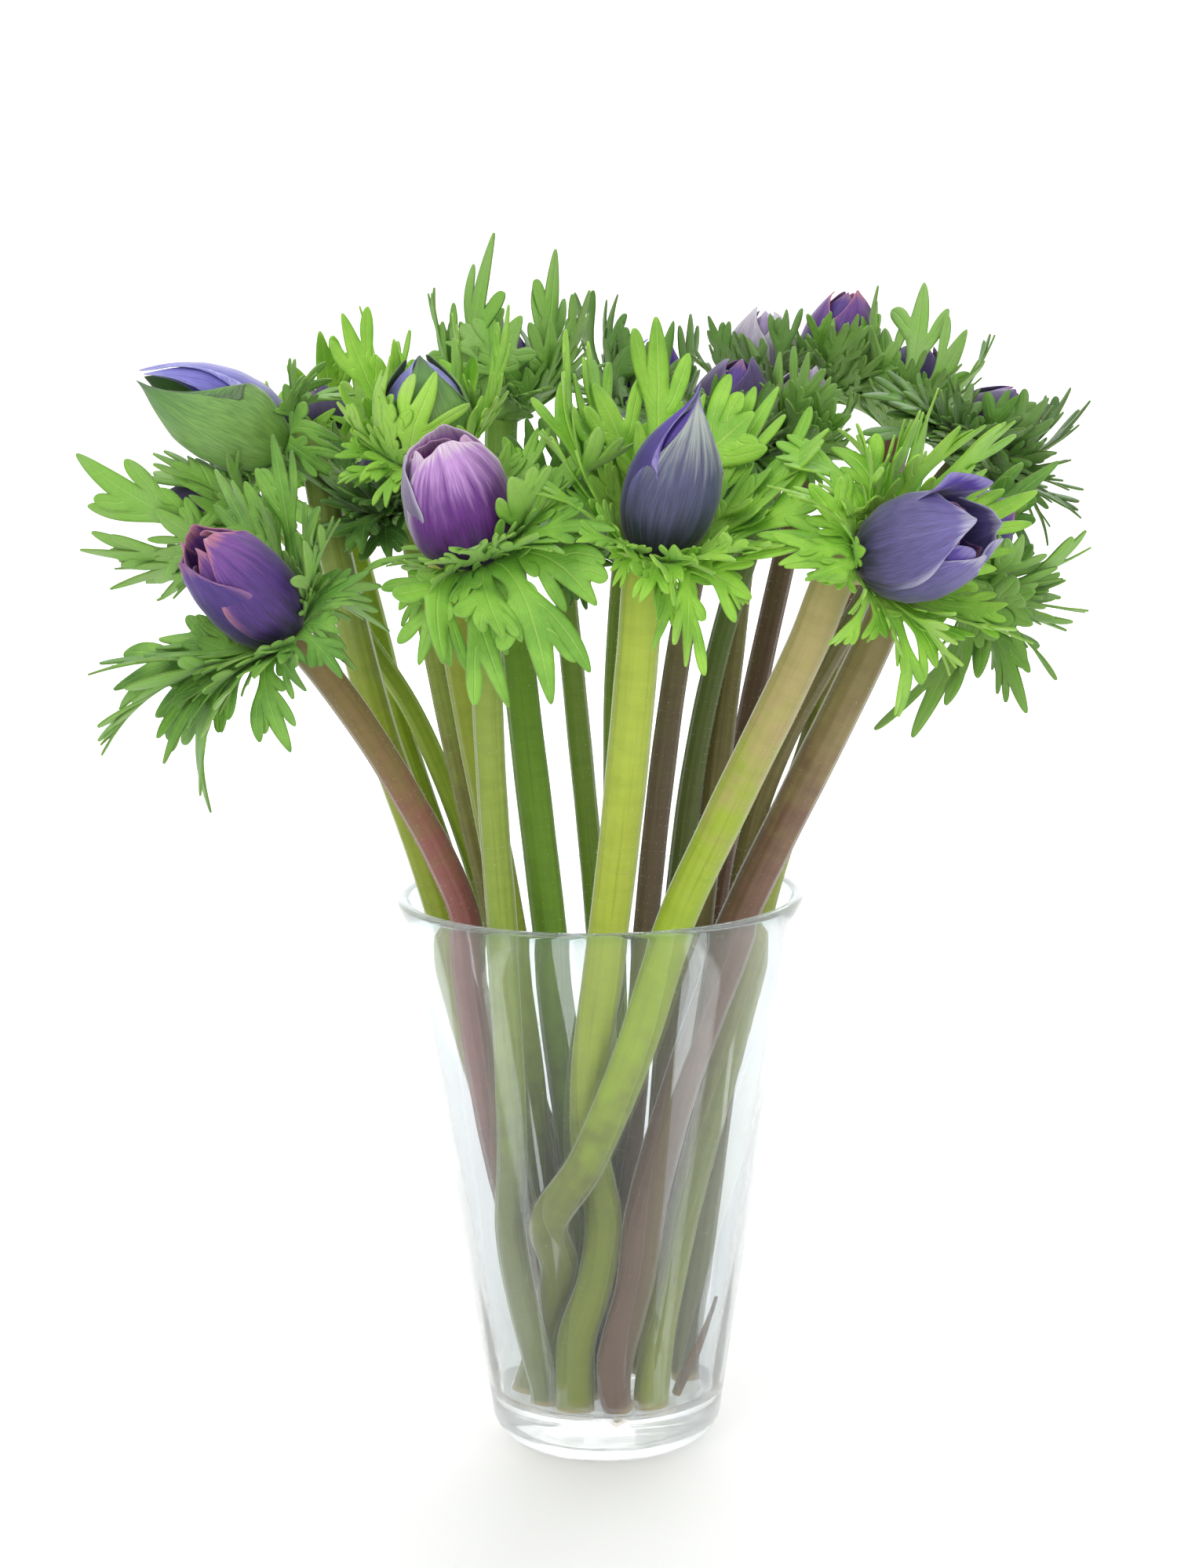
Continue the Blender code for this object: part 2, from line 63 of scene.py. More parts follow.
MM = 0.001
FULL_TURN = 2 * math.pi
FACETS = 12
VASE_STEPS = 128
STEM_SIDES = 24
STEM_RIDGES = 11
STEM_ROWS = 110
HAIRS_AT_ONCE = 60
PETAL_GRID = (14, 18)
SMALL_PETAL_GRID = (10, 12)
FLOOR_GAP = 0.2 * MM
GLASS_CLARITY = 0.22
GLASS_IOR = 1.5
AMBIENT = 1.0
AMBIENT_AT_SIDES = 0.35
BUNCH_MIDDLE = (0, 0, 0.17)
VASE_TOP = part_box("vase")[1].z
RIM_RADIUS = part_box("vase")[1].x
FLOWERS = sorted(name[len("stem_"):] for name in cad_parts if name.startswith("stem_"))

# Stem colours from the cut end up to the bud, as sRGB.
STEM_COLOURS = {
    "left_front": ((0.40, 0.24, 0.22), (0.52, 0.30, 0.27), (0.48, 0.40, 0.20)),
    "left_top": ((0.36, 0.34, 0.14), (0.56, 0.62, 0.14), (0.50, 0.56, 0.24)),
    "left_back": ((0.34, 0.36, 0.12), (0.55, 0.64, 0.13), (0.60, 0.70, 0.18)),
    "green_bud": ((0.36, 0.38, 0.12), (0.55, 0.62, 0.13), (0.58, 0.62, 0.18)),
    "magenta": ((0.40, 0.44, 0.14), (0.51, 0.59, 0.19), (0.54, 0.62, 0.23)),
    "top_centre": ((0.30, 0.36, 0.10), (0.44, 0.60, 0.13), (0.42, 0.58, 0.16)),
    "left_middle": ((0.30, 0.34, 0.12), (0.46, 0.44, 0.20), (0.52, 0.58, 0.22)),
    "back_middle": ((0.34, 0.36, 0.14), (0.44, 0.56, 0.14), (0.46, 0.56, 0.20)),
    "back_violet": ((0.34, 0.36, 0.14), (0.46, 0.58, 0.14), (0.46, 0.54, 0.20)),
    "centre_front": ((0.46, 0.50, 0.14), (0.62, 0.68, 0.18), (0.66, 0.73, 0.24)),
    "dark_back": ((0.34, 0.28, 0.20), (0.40, 0.33, 0.25), (0.42, 0.38, 0.24)),
    "pale_middle": ((0.30, 0.34, 0.14), (0.38, 0.42, 0.20), (0.36, 0.44, 0.18)),
    "pale_top": ((0.36, 0.32, 0.18), (0.46, 0.42, 0.24), (0.50, 0.48, 0.26)),
    "violet_top": ((0.34, 0.26, 0.20), (0.40, 0.30, 0.25), (0.42, 0.34, 0.24)),
    "right_front": ((0.44, 0.46, 0.18), (0.60, 0.69, 0.16), (0.68, 0.62, 0.40)),
    "right_upper": ((0.32, 0.32, 0.16), (0.44, 0.40, 0.22), (0.42, 0.40, 0.24)),
    "right_side": ((0.42, 0.32, 0.26), (0.46, 0.34, 0.27), (0.56, 0.50, 0.32)),
    "right_back": ((0.50, 0.54, 0.20), (0.56, 0.60, 0.24), (0.46, 0.28, 0.24)),
    "far_left": ((0.36, 0.36, 0.14), (0.58, 0.68, 0.16), (0.56, 0.66, 0.18)),
}

# Petal colours as sRGB: at the base, in the body, at the tip and along the edges.
PETALS = {
    "ink": ((0.15, 0.11, 0.24), (0.25, 0.16, 0.45), (0.34, 0.22, 0.55), (0.62, 0.42, 0.60)),
    "coral_edged": ((0.14, 0.09, 0.24), (0.30, 0.16, 0.48), (0.50, 0.30, 0.62), (0.80, 0.52, 0.58)),
    "magenta": ((0.15, 0.06, 0.25), (0.41, 0.14, 0.53), (0.80, 0.61, 0.86), (0.92, 0.84, 0.90)),
    "magenta_deep": ((0.22, 0.10, 0.34), (0.48, 0.16, 0.56), (0.72, 0.36, 0.72), (0.84, 0.68, 0.82)),
    "greyed": ((0.20, 0.15, 0.28), (0.42, 0.36, 0.52), (0.62, 0.54, 0.70), (0.80, 0.76, 0.84)),
    "navy": ((0.13, 0.12, 0.20), (0.31, 0.32, 0.46), (0.72, 0.76, 0.72), (0.44, 0.38, 0.70)),
    "navy_violet": ((0.14, 0.12, 0.22), (0.28, 0.23, 0.49), (0.38, 0.28, 0.68), (0.60, 0.56, 0.78)),
    "periwinkle": ((0.20, 0.17, 0.27), (0.35, 0.32, 0.53), (0.45, 0.41, 0.66), (0.76, 0.75, 0.84)),
    "lilac_blue": ((0.40, 0.42, 0.60), (0.44, 0.42, 0.76), (0.55, 0.54, 0.86), (0.72, 0.72, 0.92)),
    "green_sepal": ((0.46, 0.62, 0.27), (0.49, 0.67, 0.33), (0.38, 0.57, 0.28), (0.40, 0.48, 0.36)),
    "pale": ((0.40, 0.36, 0.44), (0.62, 0.58, 0.68), (0.78, 0.75, 0.80), (0.86, 0.84, 0.86)),
    # The next palette is dark violet darkened with painted shade: it colours the buds tucked behind the
    # leaves and the dark hearts of painted shade deep inside buds.
    "night": ((0.13, 0.09, 0.18), (0.20, 0.14, 0.30), (0.28, 0.20, 0.42), (0.44, 0.36, 0.56)),
    "vivid": ((0.26, 0.14, 0.50), (0.36, 0.18, 0.70), (0.48, 0.26, 0.84), (0.60, 0.42, 0.88)),
}


def closed_bud(outer, inner, first, opening=0.05, point=0.25, mouth=0.5):
    """A bud with three outer petals from a first turn, three inner ones and a dark heart of painted shade.
    """
    petals = [(outer, first + 120 * k, 74, 0.0, opening, 1.0 - 0.03 * k) for k in range(3)]
    petals += [(inner, first + 60 + 120 * k, 70, 2.2, opening / 2, 0.96) for k in range(3)]
    # The innermost near-black row is painted shade deep inside the bud.
    petals += [("night", first + 120 * k, 68, 4.4, 0.0, 0.84) for k in range(3)]
    return dict(crumple=0.45, point=point, mouth=mouth, petals=petals, grid=SMALL_PETAL_GRID)


def painted_shade_heart(first):
    """Three dark petals deep in a bud, from a first turn: painted shade inside the bud's mouth."""
    return [("ink", first + 120 * k, 70, 4.6, 0.0, 0.8) for k in range(3)]


# A petal's row: its colour, its turn from the front in degrees, half its width in degrees, how many
# laps it lies inside, how far its tip opens as a share of the bud's width, and its height. The buds
# in front have rows of their own, and the others are closed buds.
BUDS = {
    "left_front": dict(crumple=1.0, point=0.22, mouth=0.8, petals=[
        ("coral_edged", 42, 76, 0.0, 0.10, 0.98), ("ink", -58, 74, 0.8, 0.24, 0.94),
        ("coral_edged", 178, 78, 0.4, 0.30, 1.0), ("coral_edged", -8, 52, 2.4, 0.05, 0.96),
        ("coral_edged", 110, 60, 2.6, 0.1, 0.98), ("coral_edged", -120, 60, 2.6, 0.12, 1.0),
        # The three innermost ink petals are a dark heart of painted shade inside the bud.
        ("ink", 40, 70, 4.6, 0.0, 0.86), ("ink", 160, 70, 4.6, 0.0, 0.84), ("ink", 280, 70, 4.6, 0.0, 0.85),
    ]),
    "left_top": dict(crumple=0.35, point=0.62, mouth=0.35, petals=[
        ("green_sepal", -30, 92, 0.0, 0.02, 1.0), ("lilac_blue", 92, 56, 1.0, 0.10, 1.02),
        ("green_sepal", 176, 86, 0.6, 0.04, 0.96), ("lilac_blue", 60, 60, 2.4, 0.04, 0.98),
        ("lilac_blue", 140, 60, 3.0, 0.04, 0.94), ("lilac_blue", -60, 70, 3.4, 0.0, 0.9),
    ]),
    "magenta": dict(crumple=0.55, point=0.10, mouth=1.0, petals=[
        ("magenta", 18, 88, 0.0, 0.20, 1.0), ("greyed", -86, 50, 0.9, 0.26, 0.93),
        ("magenta", 172, 80, 0.9, 0.34, 0.98), ("magenta", -58, 60, 2.2, 0.16, 0.96),
        ("magenta_deep", 80, 66, 2.4, 0.12, 0.95), ("magenta_deep", 200, 70, 2.6, 0.14, 0.92),
        *painted_shade_heart(20),
    ]),
    "centre_front": dict(crumple=0.45, point=0.45, mouth=0.16, petals=[
        ("navy", 24, 84, 0.0, 0.0, 1.1), ("navy_violet", -82, 66, 0.8, 0.07, 1.11),
        ("navy", 168, 84, 0.5, 0.02, 1.08), ("navy_violet", -40, 60, 2.6, 0.0, 1.04),
        ("navy_violet", 90, 70, 2.8, 0.0, 0.94), ("navy_violet", 210, 70, 2.8, 0.0, 0.94),
    ]),
    "right_front": dict(crumple=0.9, point=0.20, mouth=0.8, petals=[
        ("periwinkle", -34, 66, 0.0, 0.02, 0.94), ("periwinkle", 62, 62, 0.8, 0.06, 0.90),
        ("periwinkle", 170, 74, 0.6, 0.16, 0.98), ("navy_violet", -112, 44, 2.0, 0.95, 1.04),
        ("navy_violet", 30, 56, 2.4, 0.0, 0.86), ("periwinkle", 104, 50, 2.4, 0.12, 1.0),
        *painted_shade_heart(0),
    ]),
    "left_back": closed_bud("night", "ink", 20),
    "green_bud": closed_bud("green_sepal", "lilac_blue", 10, point=0.4, mouth=0.2),
    "top_centre": closed_bud("green_sepal", "ink", -30, point=0.4, mouth=0.25),
    "left_middle": closed_bud("night", "ink", 80),
    "back_middle": closed_bud("ink", "night", 120),
    "back_violet": closed_bud("vivid", "vivid", 30),
    "dark_back": closed_bud("night", "ink", 50),
    "pale_middle": closed_bud("greyed", "pale", 10),
    "pale_top": closed_bud("pale", "greyed", -60),
    "violet_top": closed_bud("coral_edged", "ink", 40, opening=0.12),
    "right_upper": closed_bud("night", "ink", 100),
    "right_side": closed_bud("ink", "night", 140),
    "right_back": closed_bud("ink", "night", -20),
    "far_left": closed_bud("night", "ink", 0),
}

# Where the fronds of each collar end, in millimetres, and the collar's leaf finish.
FRONDS = {
    "left_front": ("leaf", [
        (-93, -64, 172), (-117, -62, 206), (-116, -60, 187), (-58, -52, 200), (-58, -66, 242),
        (-74, -50, 258), (-48, -46, 211), (-88, -42, 250), (-99, -64, 184), (-66, -66, 186),
        (-50, -66, 224), (-54, -72, 206), (-64, -64, 236),
    ]),
    "far_left": ("leaf", [
        (-131, 6, 245), (-127, 6, 228), (-120, 10, 219), (-108, 2, 249), (-104, 2, 214), (-95, 28, 250),
        (-112, 24, 208), (-88, -6, 250), (-82, 2, 206),
    ]),
    "left_top": ("leaf", [
        (-66, 4, 268), (-56, -4, 244), (-66, -8, 228), (-66, 34, 264), (-88, 32, 232), (-58, 16, 262),
        (-84, 34, 256), (-70, 12, 222),
    ]),
    "left_back": ("fresh", [
        (-82, 38, 266), (-74, 42, 278), (-60, 42, 284), (-48, 42, 276), (-90, 32, 254), (-52, 18, 262),
        (-78, 56, 250), (-54, 60, 258), (-70, 20, 258),
    ]),
    "green_bud": ("fresh", [
        (-54, -16, 287), (-33, -14, 284), (-46, -28, 276), (-22, -28, 270), (-60, -28, 264),
        (-27, -42, 252), (-52, -40, 240), (-20, -18, 286), (-62, -30, 244),
    ]),
    "top_centre": ("leaf", [
        (-25, 30, 300), (-14, 30, 296), (-1, 30, 287), (-6, 20, 277), (-40, 30, 287), (-46, 22, 270),
        (2, 40, 270), (-30, 52, 272), (-14, 4, 262),
    ]),
    "left_middle": ("dark", [
        (-76, 0, 248), (-62, -14, 248), (-54, -16, 230), (-36, -12, 238), (-64, 16, 256),
        (-42, 26, 252), (-72, 2, 226), (-30, 6, 246), (-56, -22, 249), (-51, -24, 239), (-58, -22, 228),
        (-51, -20, 223),
    ]),
    "magenta": ("mid", [
        (-36, -74, 206), (-3, -72, 198), (9, -62, 257), (-22, -68, 195), (4, -74, 238), (-26, -88, 238),
        (-43, -62, 212), (10, -56, 228), (-12, -40, 258), (-54, -44, 226),
    ]),
    "centre_front": ("fresh", [
        (21, -78, 205), (55, -62, 243), (52, -50, 261), (-8, -56, 280), (1, -40, 281), (34, -70, 219),
        (4, -70, 224), (43, -38, 267), (22, -34, 284), (-16, -46, 266), (46, -70, 232), (-14, -62, 246),
        (12, -84, 220), (30, -84, 232), (-4, -80, 236),
    ]),
    "right_front": ("fresh", [
        (34, -68, 230), (52, -74, 211), (58, -44, 258), (82, -64, 203), (99, -66, 212), (97, -44, 258),
        (70, -70, 193), (42, -48, 255), (78, -38, 264), (104, -56, 240), (38, -66, 246),
    ]),
    "right_side": ("leaf", [
        (118, -30, 229), (94, -45, 187), (107, -40, 198), (67, -36, 186), (117, -32, 213),
        (81, -44, 196), (110, -20, 246), (62, -18, 240), (112, -30, 206),
    ]),
    "right_back": ("leaf", [
        (72, 46, 286), (88, 48, 288), (102, 46, 275), (64, 46, 272), (100, 60, 252), (58, 60, 256),
        (82, 74, 262), (96, 30, 262), (80, 24, 270), (72, 24, 262), (90, 24, 266),
    ]),
    "right_upper": ("dark", [
        (118, 18, 262), (123, 20, 258), (106, 10, 265), (117, 8, 244), (110, 32, 234), (100, -2, 222),
        (78, 2, 256), (86, -10, 264), (122, 16, 230), (100, -12, 256), (112, -6, 258), (94, -8, 246),
        (66, -8, 261), (71, -10, 257), (63, -6, 250), (112, 0, 249), (115, -6, 238), (111, -10, 228),
    ]),
    "back_violet": ("dark", [
        (22, 58, 281), (8, 56, 287), (-3, 56, 285), (36, 60, 264), (-10, 62, 260), (14, 78, 258),
        (20, 38, 262),
    ]),
    "violet_top": ("leaf", [
        (72, 46, 278), (62, 42, 278), (46, 46, 277), (60, 68, 272), (84, 56, 262), (50, 28, 262),
        (82, 34, 264), (64, 34, 274), (56, 28, 270), (74, 34, 268), (55, 30, 280), (61, 26, 278),
        (67, 30, 280),
    ]),
    "pale_top": ("dark", [
        (32, 36, 281), (50, 34, 281), (24, 46, 270), (44, 64, 272), (60, 38, 264), (36, 22, 258),
        (38, 20, 274), (50, 18, 272), (44, 16, 262),
    ]),
    "pale_middle": ("leaf", [
        (56, 4, 268), (40, 0, 266), (30, 14, 258), (64, 12, 248), (52, -6, 238), (40, 36, 264),
        (66, 20, 262), (50, -8, 264), (42, -8, 254), (62, -2, 260), (54, -8, 270), (48, -14, 260),
        (60, -8, 252),
    ]),
    "dark_back": ("dark", [
        (20, -12, 268), (34, -16, 264), (46, -10, 256), (20, 14, 270), (42, 10, 274), (26, -20, 238),
        (10, -4, 258), (30, -20, 268), (38, -20, 256), (34, -26, 264), (24, -24, 264), (42, -22, 266),
        (35, -28, 249), (40, -28, 242), (39, -28, 230), (32, -28, 232),
    ]),
    "back_middle": ("dark", [
        (-24, 2, 240), (4, -2, 240), (-18, 34, 250), (10, 26, 242), (-8, -6, 212), (12, 12, 212),
        (-28, 16, 216), (-2, 34, 216), (-13, -8, 259), (-3, -10, 262), (3, -14, 253), (-16, -18, 249),
        (-10, -20, 235), (1, -20, 238),
    ]),
}

# Leaf finishes: the blade, its deeper patches, its ribs, and its underside, as sRGB.
LEAF_COLOURS = {
    "leaf": ((0.51, 0.73, 0.27), (0.36, 0.58, 0.19), (0.64, 0.81, 0.38), (0.56, 0.73, 0.38)),
    "mid": ((0.57, 0.80, 0.29), (0.44, 0.67, 0.21), (0.70, 0.85, 0.40), (0.62, 0.79, 0.38)),
    "fresh": ((0.64, 0.87, 0.28), (0.50, 0.75, 0.21), (0.79, 0.92, 0.46), (0.69, 0.86, 0.41)),
    "dark": ((0.38, 0.59, 0.20), (0.26, 0.44, 0.14), (0.52, 0.69, 0.32), (0.48, 0.62, 0.35)),
}

SHORTEST_LOBE = 0.45
FINGER_OUTLINE = (0.82, 0.78, 0.95, 1.0, 0.74, 0.2)
LOBE_OUTLINE = ((0.45, 1.0), (0.8, 0.85), (1.0, 0.25))
BUD_OUTLINE = ((0.0, 0.42), (0.1, 0.74), (0.26, 0.95), (0.45, 1.0), (0.66, 0.9), (0.84, 0.66), (1.0, 0.34))


# Small helpers


def linear(colour):
    """An sRGB colour as the linear colour that shaders take."""
    return [c / 12.92 if c <= 0.04045 else ((c + 0.055) / 1.055) ** 2.4 for c in colour] + [1.0]


def in_mm(name, description, millimetres):
    """A setting that is a length, with its default in millimetres."""
    return FloatProperty(name=name, description=description, default=millimetres * MM, unit="LENGTH")


def placed(name, data):
    """A new object in the scene."""
    thing = bpy.data.objects.new(name, data)
    bpy.context.scene.collection.objects.link(thing)
    return thing


def smooth_mesh(bm, name):
    """Turns a bmesh into a smooth mesh and frees it."""
    mesh = bpy.data.meshes.new(name)
    bm.to_mesh(mesh)
    bm.free()
    mesh.shade_smooth()
    return mesh


def finished(bm, name, materials, replaces):
    """Turns a bmesh into a piece of the object, in place of one or more of its solids."""
    mesh = smooth_mesh(bm, name)
    for material in materials:
        mesh.materials.append(material)
    piece = placed(name, mesh)
    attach(piece, "root")
    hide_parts(*replaces)
    return piece


def rounded(piece, levels):
    subdivision = piece.modifiers.new("rounding", "SUBSURF")
    subdivision.levels = subdivision.render_levels = levels


def mapped():
    """An empty bmesh with a UV map for shares across and along its surface."""
    bm = bmesh.new()
    bm.loops.layers.uv.new("surface")
    return bm


def draped_grid(columns, rows, place):
    """A grid laid over a shape: place turns shares across and along it into a point."""
    bm = mapped()
    bmesh.ops.create_grid(bm, x_segments=columns, y_segments=rows, size=0.5, calc_uvs=True)
    for vertex in bm.verts:
        vertex.co = place(vertex.co.x + 0.5, vertex.co.y + 0.5)
    return bm


def joined(bm, part):
    """Adds a second bmesh's faces to the first and frees it. Returns the new vertices."""
    count = len(bm.verts)
    mesh = bpy.data.meshes.new("part")
    part.to_mesh(mesh)
    part.free()
    bm.from_mesh(mesh)
    bpy.data.meshes.remove(mesh)
    bm.verts.ensure_lookup_table()
    return bm.verts[count:]


def smooth_curve(points, count):
    """Evenly spaced points on a Catmull-Rom curve through the given points."""
    knots = np.vstack([2 * points[0] - points[1], points, 2 * points[-1] - points[-2]])
    dense = []
    for a, b, c, d in zip(knots, knots[1:], knots[2:], knots[3:]):
        for t in np.linspace(0, 1, 8, endpoint=False):
            bend = (2 * a - 5 * b + 4 * c - d) * t**2 + (3 * b - a - 3 * c + d) * t**3
            dense.append(0.5 * (2 * b + (c - a) * t + bend))
    dense = np.array([*dense, points[-1]])
    along = np.concatenate([[0], np.cumsum(np.linalg.norm(np.diff(dense, axis=0), axis=1))])
    places = np.linspace(0, along[-1], count)
    return np.stack([np.interp(places, along, dense[:, k]) for k in range(3)], axis=1)


class Flower:
    """One flower's route, taken from its solids: its stem's ring centres, its bud's base and axis."""

    def __init__(self, name):
        self.name = name
        rings = self.rings(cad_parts["stem_" + name])
        self.centres = np.array([np.mean(ring, axis=0) for ring in rings])
        runs = np.gradient(self.centres, axis=0)
        runs /= np.linalg.norm(runs, axis=1)[:, None]
        self.radii = []
        for ring, centre, run in zip(rings, self.centres, runs):
            spokes = np.array(ring) - centre
            spokes -= np.outer(spokes @ run, run)
            self.radii.append(np.linalg.norm(spokes, axis=1).mean())
        self.base = Vector(self.centres[-1])
        self.axis = Vector(self.centres[-1] - self.centres[-2]).normalized()
        bud = [v.co - self.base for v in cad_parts["bud_" + name].data.vertices]
        self.length = max(v.dot(self.axis) for v in bud)
        self.width = max((v - self.axis * v.dot(self.axis)).length for v in bud)
        self.front = Vector((0, -1, 0))
        self.front = (self.front - self.axis * self.front.dot(self.axis)).normalized()
        self.side = self.axis.cross(self.front)
        self.opening = max(row[4] for row in BUDS[name]["petals"][:3])

    @staticmethod
    def rings(node):
        """The rings of a stem's solid, found by walking up from the flat ring at its foot."""
        bm = bmesh.new()
        bm.from_mesh(node.data)
        bmesh.ops.remove_doubles(bm, verts=bm.verts, dist=0.005 * MM)
        lowest = min(v.co.z for v in bm.verts)
        ring = {v for v in bm.verts if v.co.z < lowest + 0.02 * MM}
        rings, seen = [], set()
        while ring:
            rings.append([tuple(v.co) for v in ring])
            seen |= ring
            ring = {edge.other_vert(v) for v in ring for edge in v.link_edges} - seen
        bm.free()
        return rings

    def around(self, degrees):
        """The direction square to the bud's axis, at a turn round it from the front."""
        angle = math.radians(degrees)
        return self.front * math.cos(angle) + self.side * math.sin(angle)

    def clear(self, point, gap):
        """Moves a point that lies in the bud out to its side."""
        rise = (point - self.base).dot(self.axis)
        share = rise / self.length
        if not 0 < share < 1:
            return point
        out = point - self.base - self.axis * rise
        reach = self.width * (bud_share(share) + flare(self.opening, share)) + gap
        if out.length >= reach:
            return point
        return self.base + self.axis * rise + out.normalized() * reach


# Shader node helpers


def add(tree, kind, inputs=None, **settings):
    """A node with its settings, and its inputs as values or as the outputs that feed them."""
    node = tree.nodes.new(kind)
    for name, value in settings.items():
        setattr(node, name, value)
    for name, value in (inputs or {}).items():
        if isinstance(value, bpy.types.NodeSocket):
            tree.links.new(value, node.inputs[name])
        else:
            node.inputs[name].default_value = value
    return node


def calc(tree, operation, a, b=0.0):
    return add(tree, "ShaderNodeMath", {0: a, 1: b}, operation=operation).outputs[0]


def times(tree, a, b):
    return calc(tree, "MULTIPLY", a, b)


def fade(tree, value, low, high):
    """0 below low and 1 above high, or the other way round when low is the larger."""
    sizes = {"Value": value, "From Min": low, "From Max": high}
    return add(tree, "ShaderNodeMapRange", sizes, interpolation_type="SMOOTHSTEP").outputs[0]


def mixed(tree, share, a, b, blend="MIX"):
    """Two colours mixed by a share of the second."""
    node = add(tree, "ShaderNodeMix", {0: share, 6: a, 7: b}, data_type="RGBA", blend_type=blend)
    return node.outputs[2]


def noise(tree, vector, scale, detail=3.0):
    settings = {"Vector": vector, "Scale": scale, "Detail": detail}
    return add(tree, "ShaderNodeTexNoise", settings).outputs[0]


def stretched(tree, across, along, across_scale, along_scale):
    """Coordinates for a pattern drawn out along a piece."""
    parts = {0: times(tree, across, across_scale), 1: times(tree, along, along_scale)}
    return add(tree, "ShaderNodeCombineXYZ", parts).outputs[0]


def surface_shares(tree):
    """Shares across and along a piece, from its own UV map."""
    place = add(tree, "ShaderNodeUVMap", uv_map="surface").outputs[0]
    parts = add(tree, "ShaderNodeSeparateXYZ", {0: place})
    return parts.outputs[0], parts.outputs[1]


def off_middle(tree, across):
    """0 along a piece's middle and 1 at both its sides."""
    return times(tree, calc(tree, "ABSOLUTE", calc(tree, "SUBTRACT", across, 0.5)), 2.0)


def shader_group(name, colours):
    """A new group with colour inputs that puts out a colour and a height."""
    tree = bpy.data.node_groups.new(name, "ShaderNodeTree")
    for label in colours:
        tree.interface.new_socket(label, in_out="INPUT", socket_type="NodeSocketColor")
    tree.interface.new_socket("Colour", in_out="OUTPUT", socket_type="NodeSocketColor")
    tree.interface.new_socket("Height", in_out="OUTPUT", socket_type="NodeSocketFloat")
    return tree, tree.nodes.new("NodeGroupInput").outputs


def put_out(tree, colour, height):
    add(tree, "NodeGroupOutput", {"Colour": colour, "Height": height})


def stem_skin():
    """Down the length of a stem: colour in three steps, faint rings, mottling and ridges."""
    tree, given = shader_group("stem skin", ("Low", "Middle", "High"))
    across, along = surface_shares(tree)
    blotches = noise(tree, stretched(tree, across, along, 3, 22), 1.6)
    rings = noise(tree, stretched(tree, across, along, 2.2, 64), 1.4, 4.0)
    streaks = noise(tree, stretched(tree, across, along, 34, 5), 1.0, 2.0)
    shifted = calc(tree, "ADD", along, times(tree, calc(tree, "SUBTRACT", blotches, 0.5), 0.35))
    lower = mixed(tree, fade(tree, shifted, 0.22, 0.5), given["Low"], given["Middle"])
    colour = mixed(tree, fade(tree, shifted, 0.62, 0.86), lower, given["High"])
    light = times(tree, fade(tree, rings, 0.4, 0.7), 0.26)
    colour = mixed(tree, light, colour, (0.62, 0.66, 0.45, 1.0), "MULTIPLY")
    dark = times(tree, fade(tree, streaks, 0.52, 0.78), 0.4)
    colour = mixed(tree, dark, colour, (0.55, 0.5, 0.45, 1.0), "MULTIPLY")
    foot = fade(tree, along, 0.012, 0.003)
    colour = mixed(tree, times(tree, foot, 0.7), colour, (0.50, 0.36, 0.16, 1.0))
    ridges = calc(tree, "SINE", times(tree, across, FULL_TURN * STEM_RIDGES))
    height = calc(tree, "ADD", times(tree, ridges, 0.35), times(tree, streaks, 0.8))
    put_out(tree, colour, height)
    return tree


def leaf_blade():
    """Across a leaf's finger: a paler rib, side veins, deeper patches and a thin brown edge."""
    tree, given = shader_group("leaf blade", ("Blade", "Deep", "Rib"))
    across, along = surface_shares(tree)
    off_rib = off_middle(tree, across)
    rib = fade(tree, off_rib, 0.16, 0.02)
    slant = calc(tree, "SUBTRACT", times(tree, along, 34.0), times(tree, off_rib, 2.2))
    veins = fade(tree, calc(tree, "SINE", times(tree, slant, FULL_TURN)), 0.75, 1.0)
    place = add(tree, "ShaderNodeTexCoord").outputs["Object"]
    patches = noise(tree, place, 90.0)
    grain = noise(tree, place, 700.0)
    colour = mixed(tree, fade(tree, patches, 0.35, 0.66), given["Deep"], given["Blade"])
    colour = mixed(tree, times(tree, veins, 0.22), colour, given["Rib"])
    colour = mixed(tree, times(tree, rib, 0.42), colour, given["Rib"])
    base = fade(tree, along, 0.3, 0.02)
    colour = mixed(tree, times(tree, base, 0.5), colour, given["Rib"])
    edge = times(tree, fade(tree, off_rib, 0.9, 1.0), fade(tree, along, 0.35, 0.9))
    colour = mixed(tree, times(tree, edge, 0.28), colour, (0.20, 0.12, 0.05, 1.0))
    colour = mixed(tree, times(tree, grain, 0.35), colour, (0.6, 0.6, 0.6, 1.0), "MULTIPLY")
    sunk = times(tree, calc(tree, "MAXIMUM", rib, times(tree, veins, 0.4)), -1.0)
    put_out(tree, colour, calc(tree, "ADD", sunk, times(tree, grain, 0.25)))
    return tree


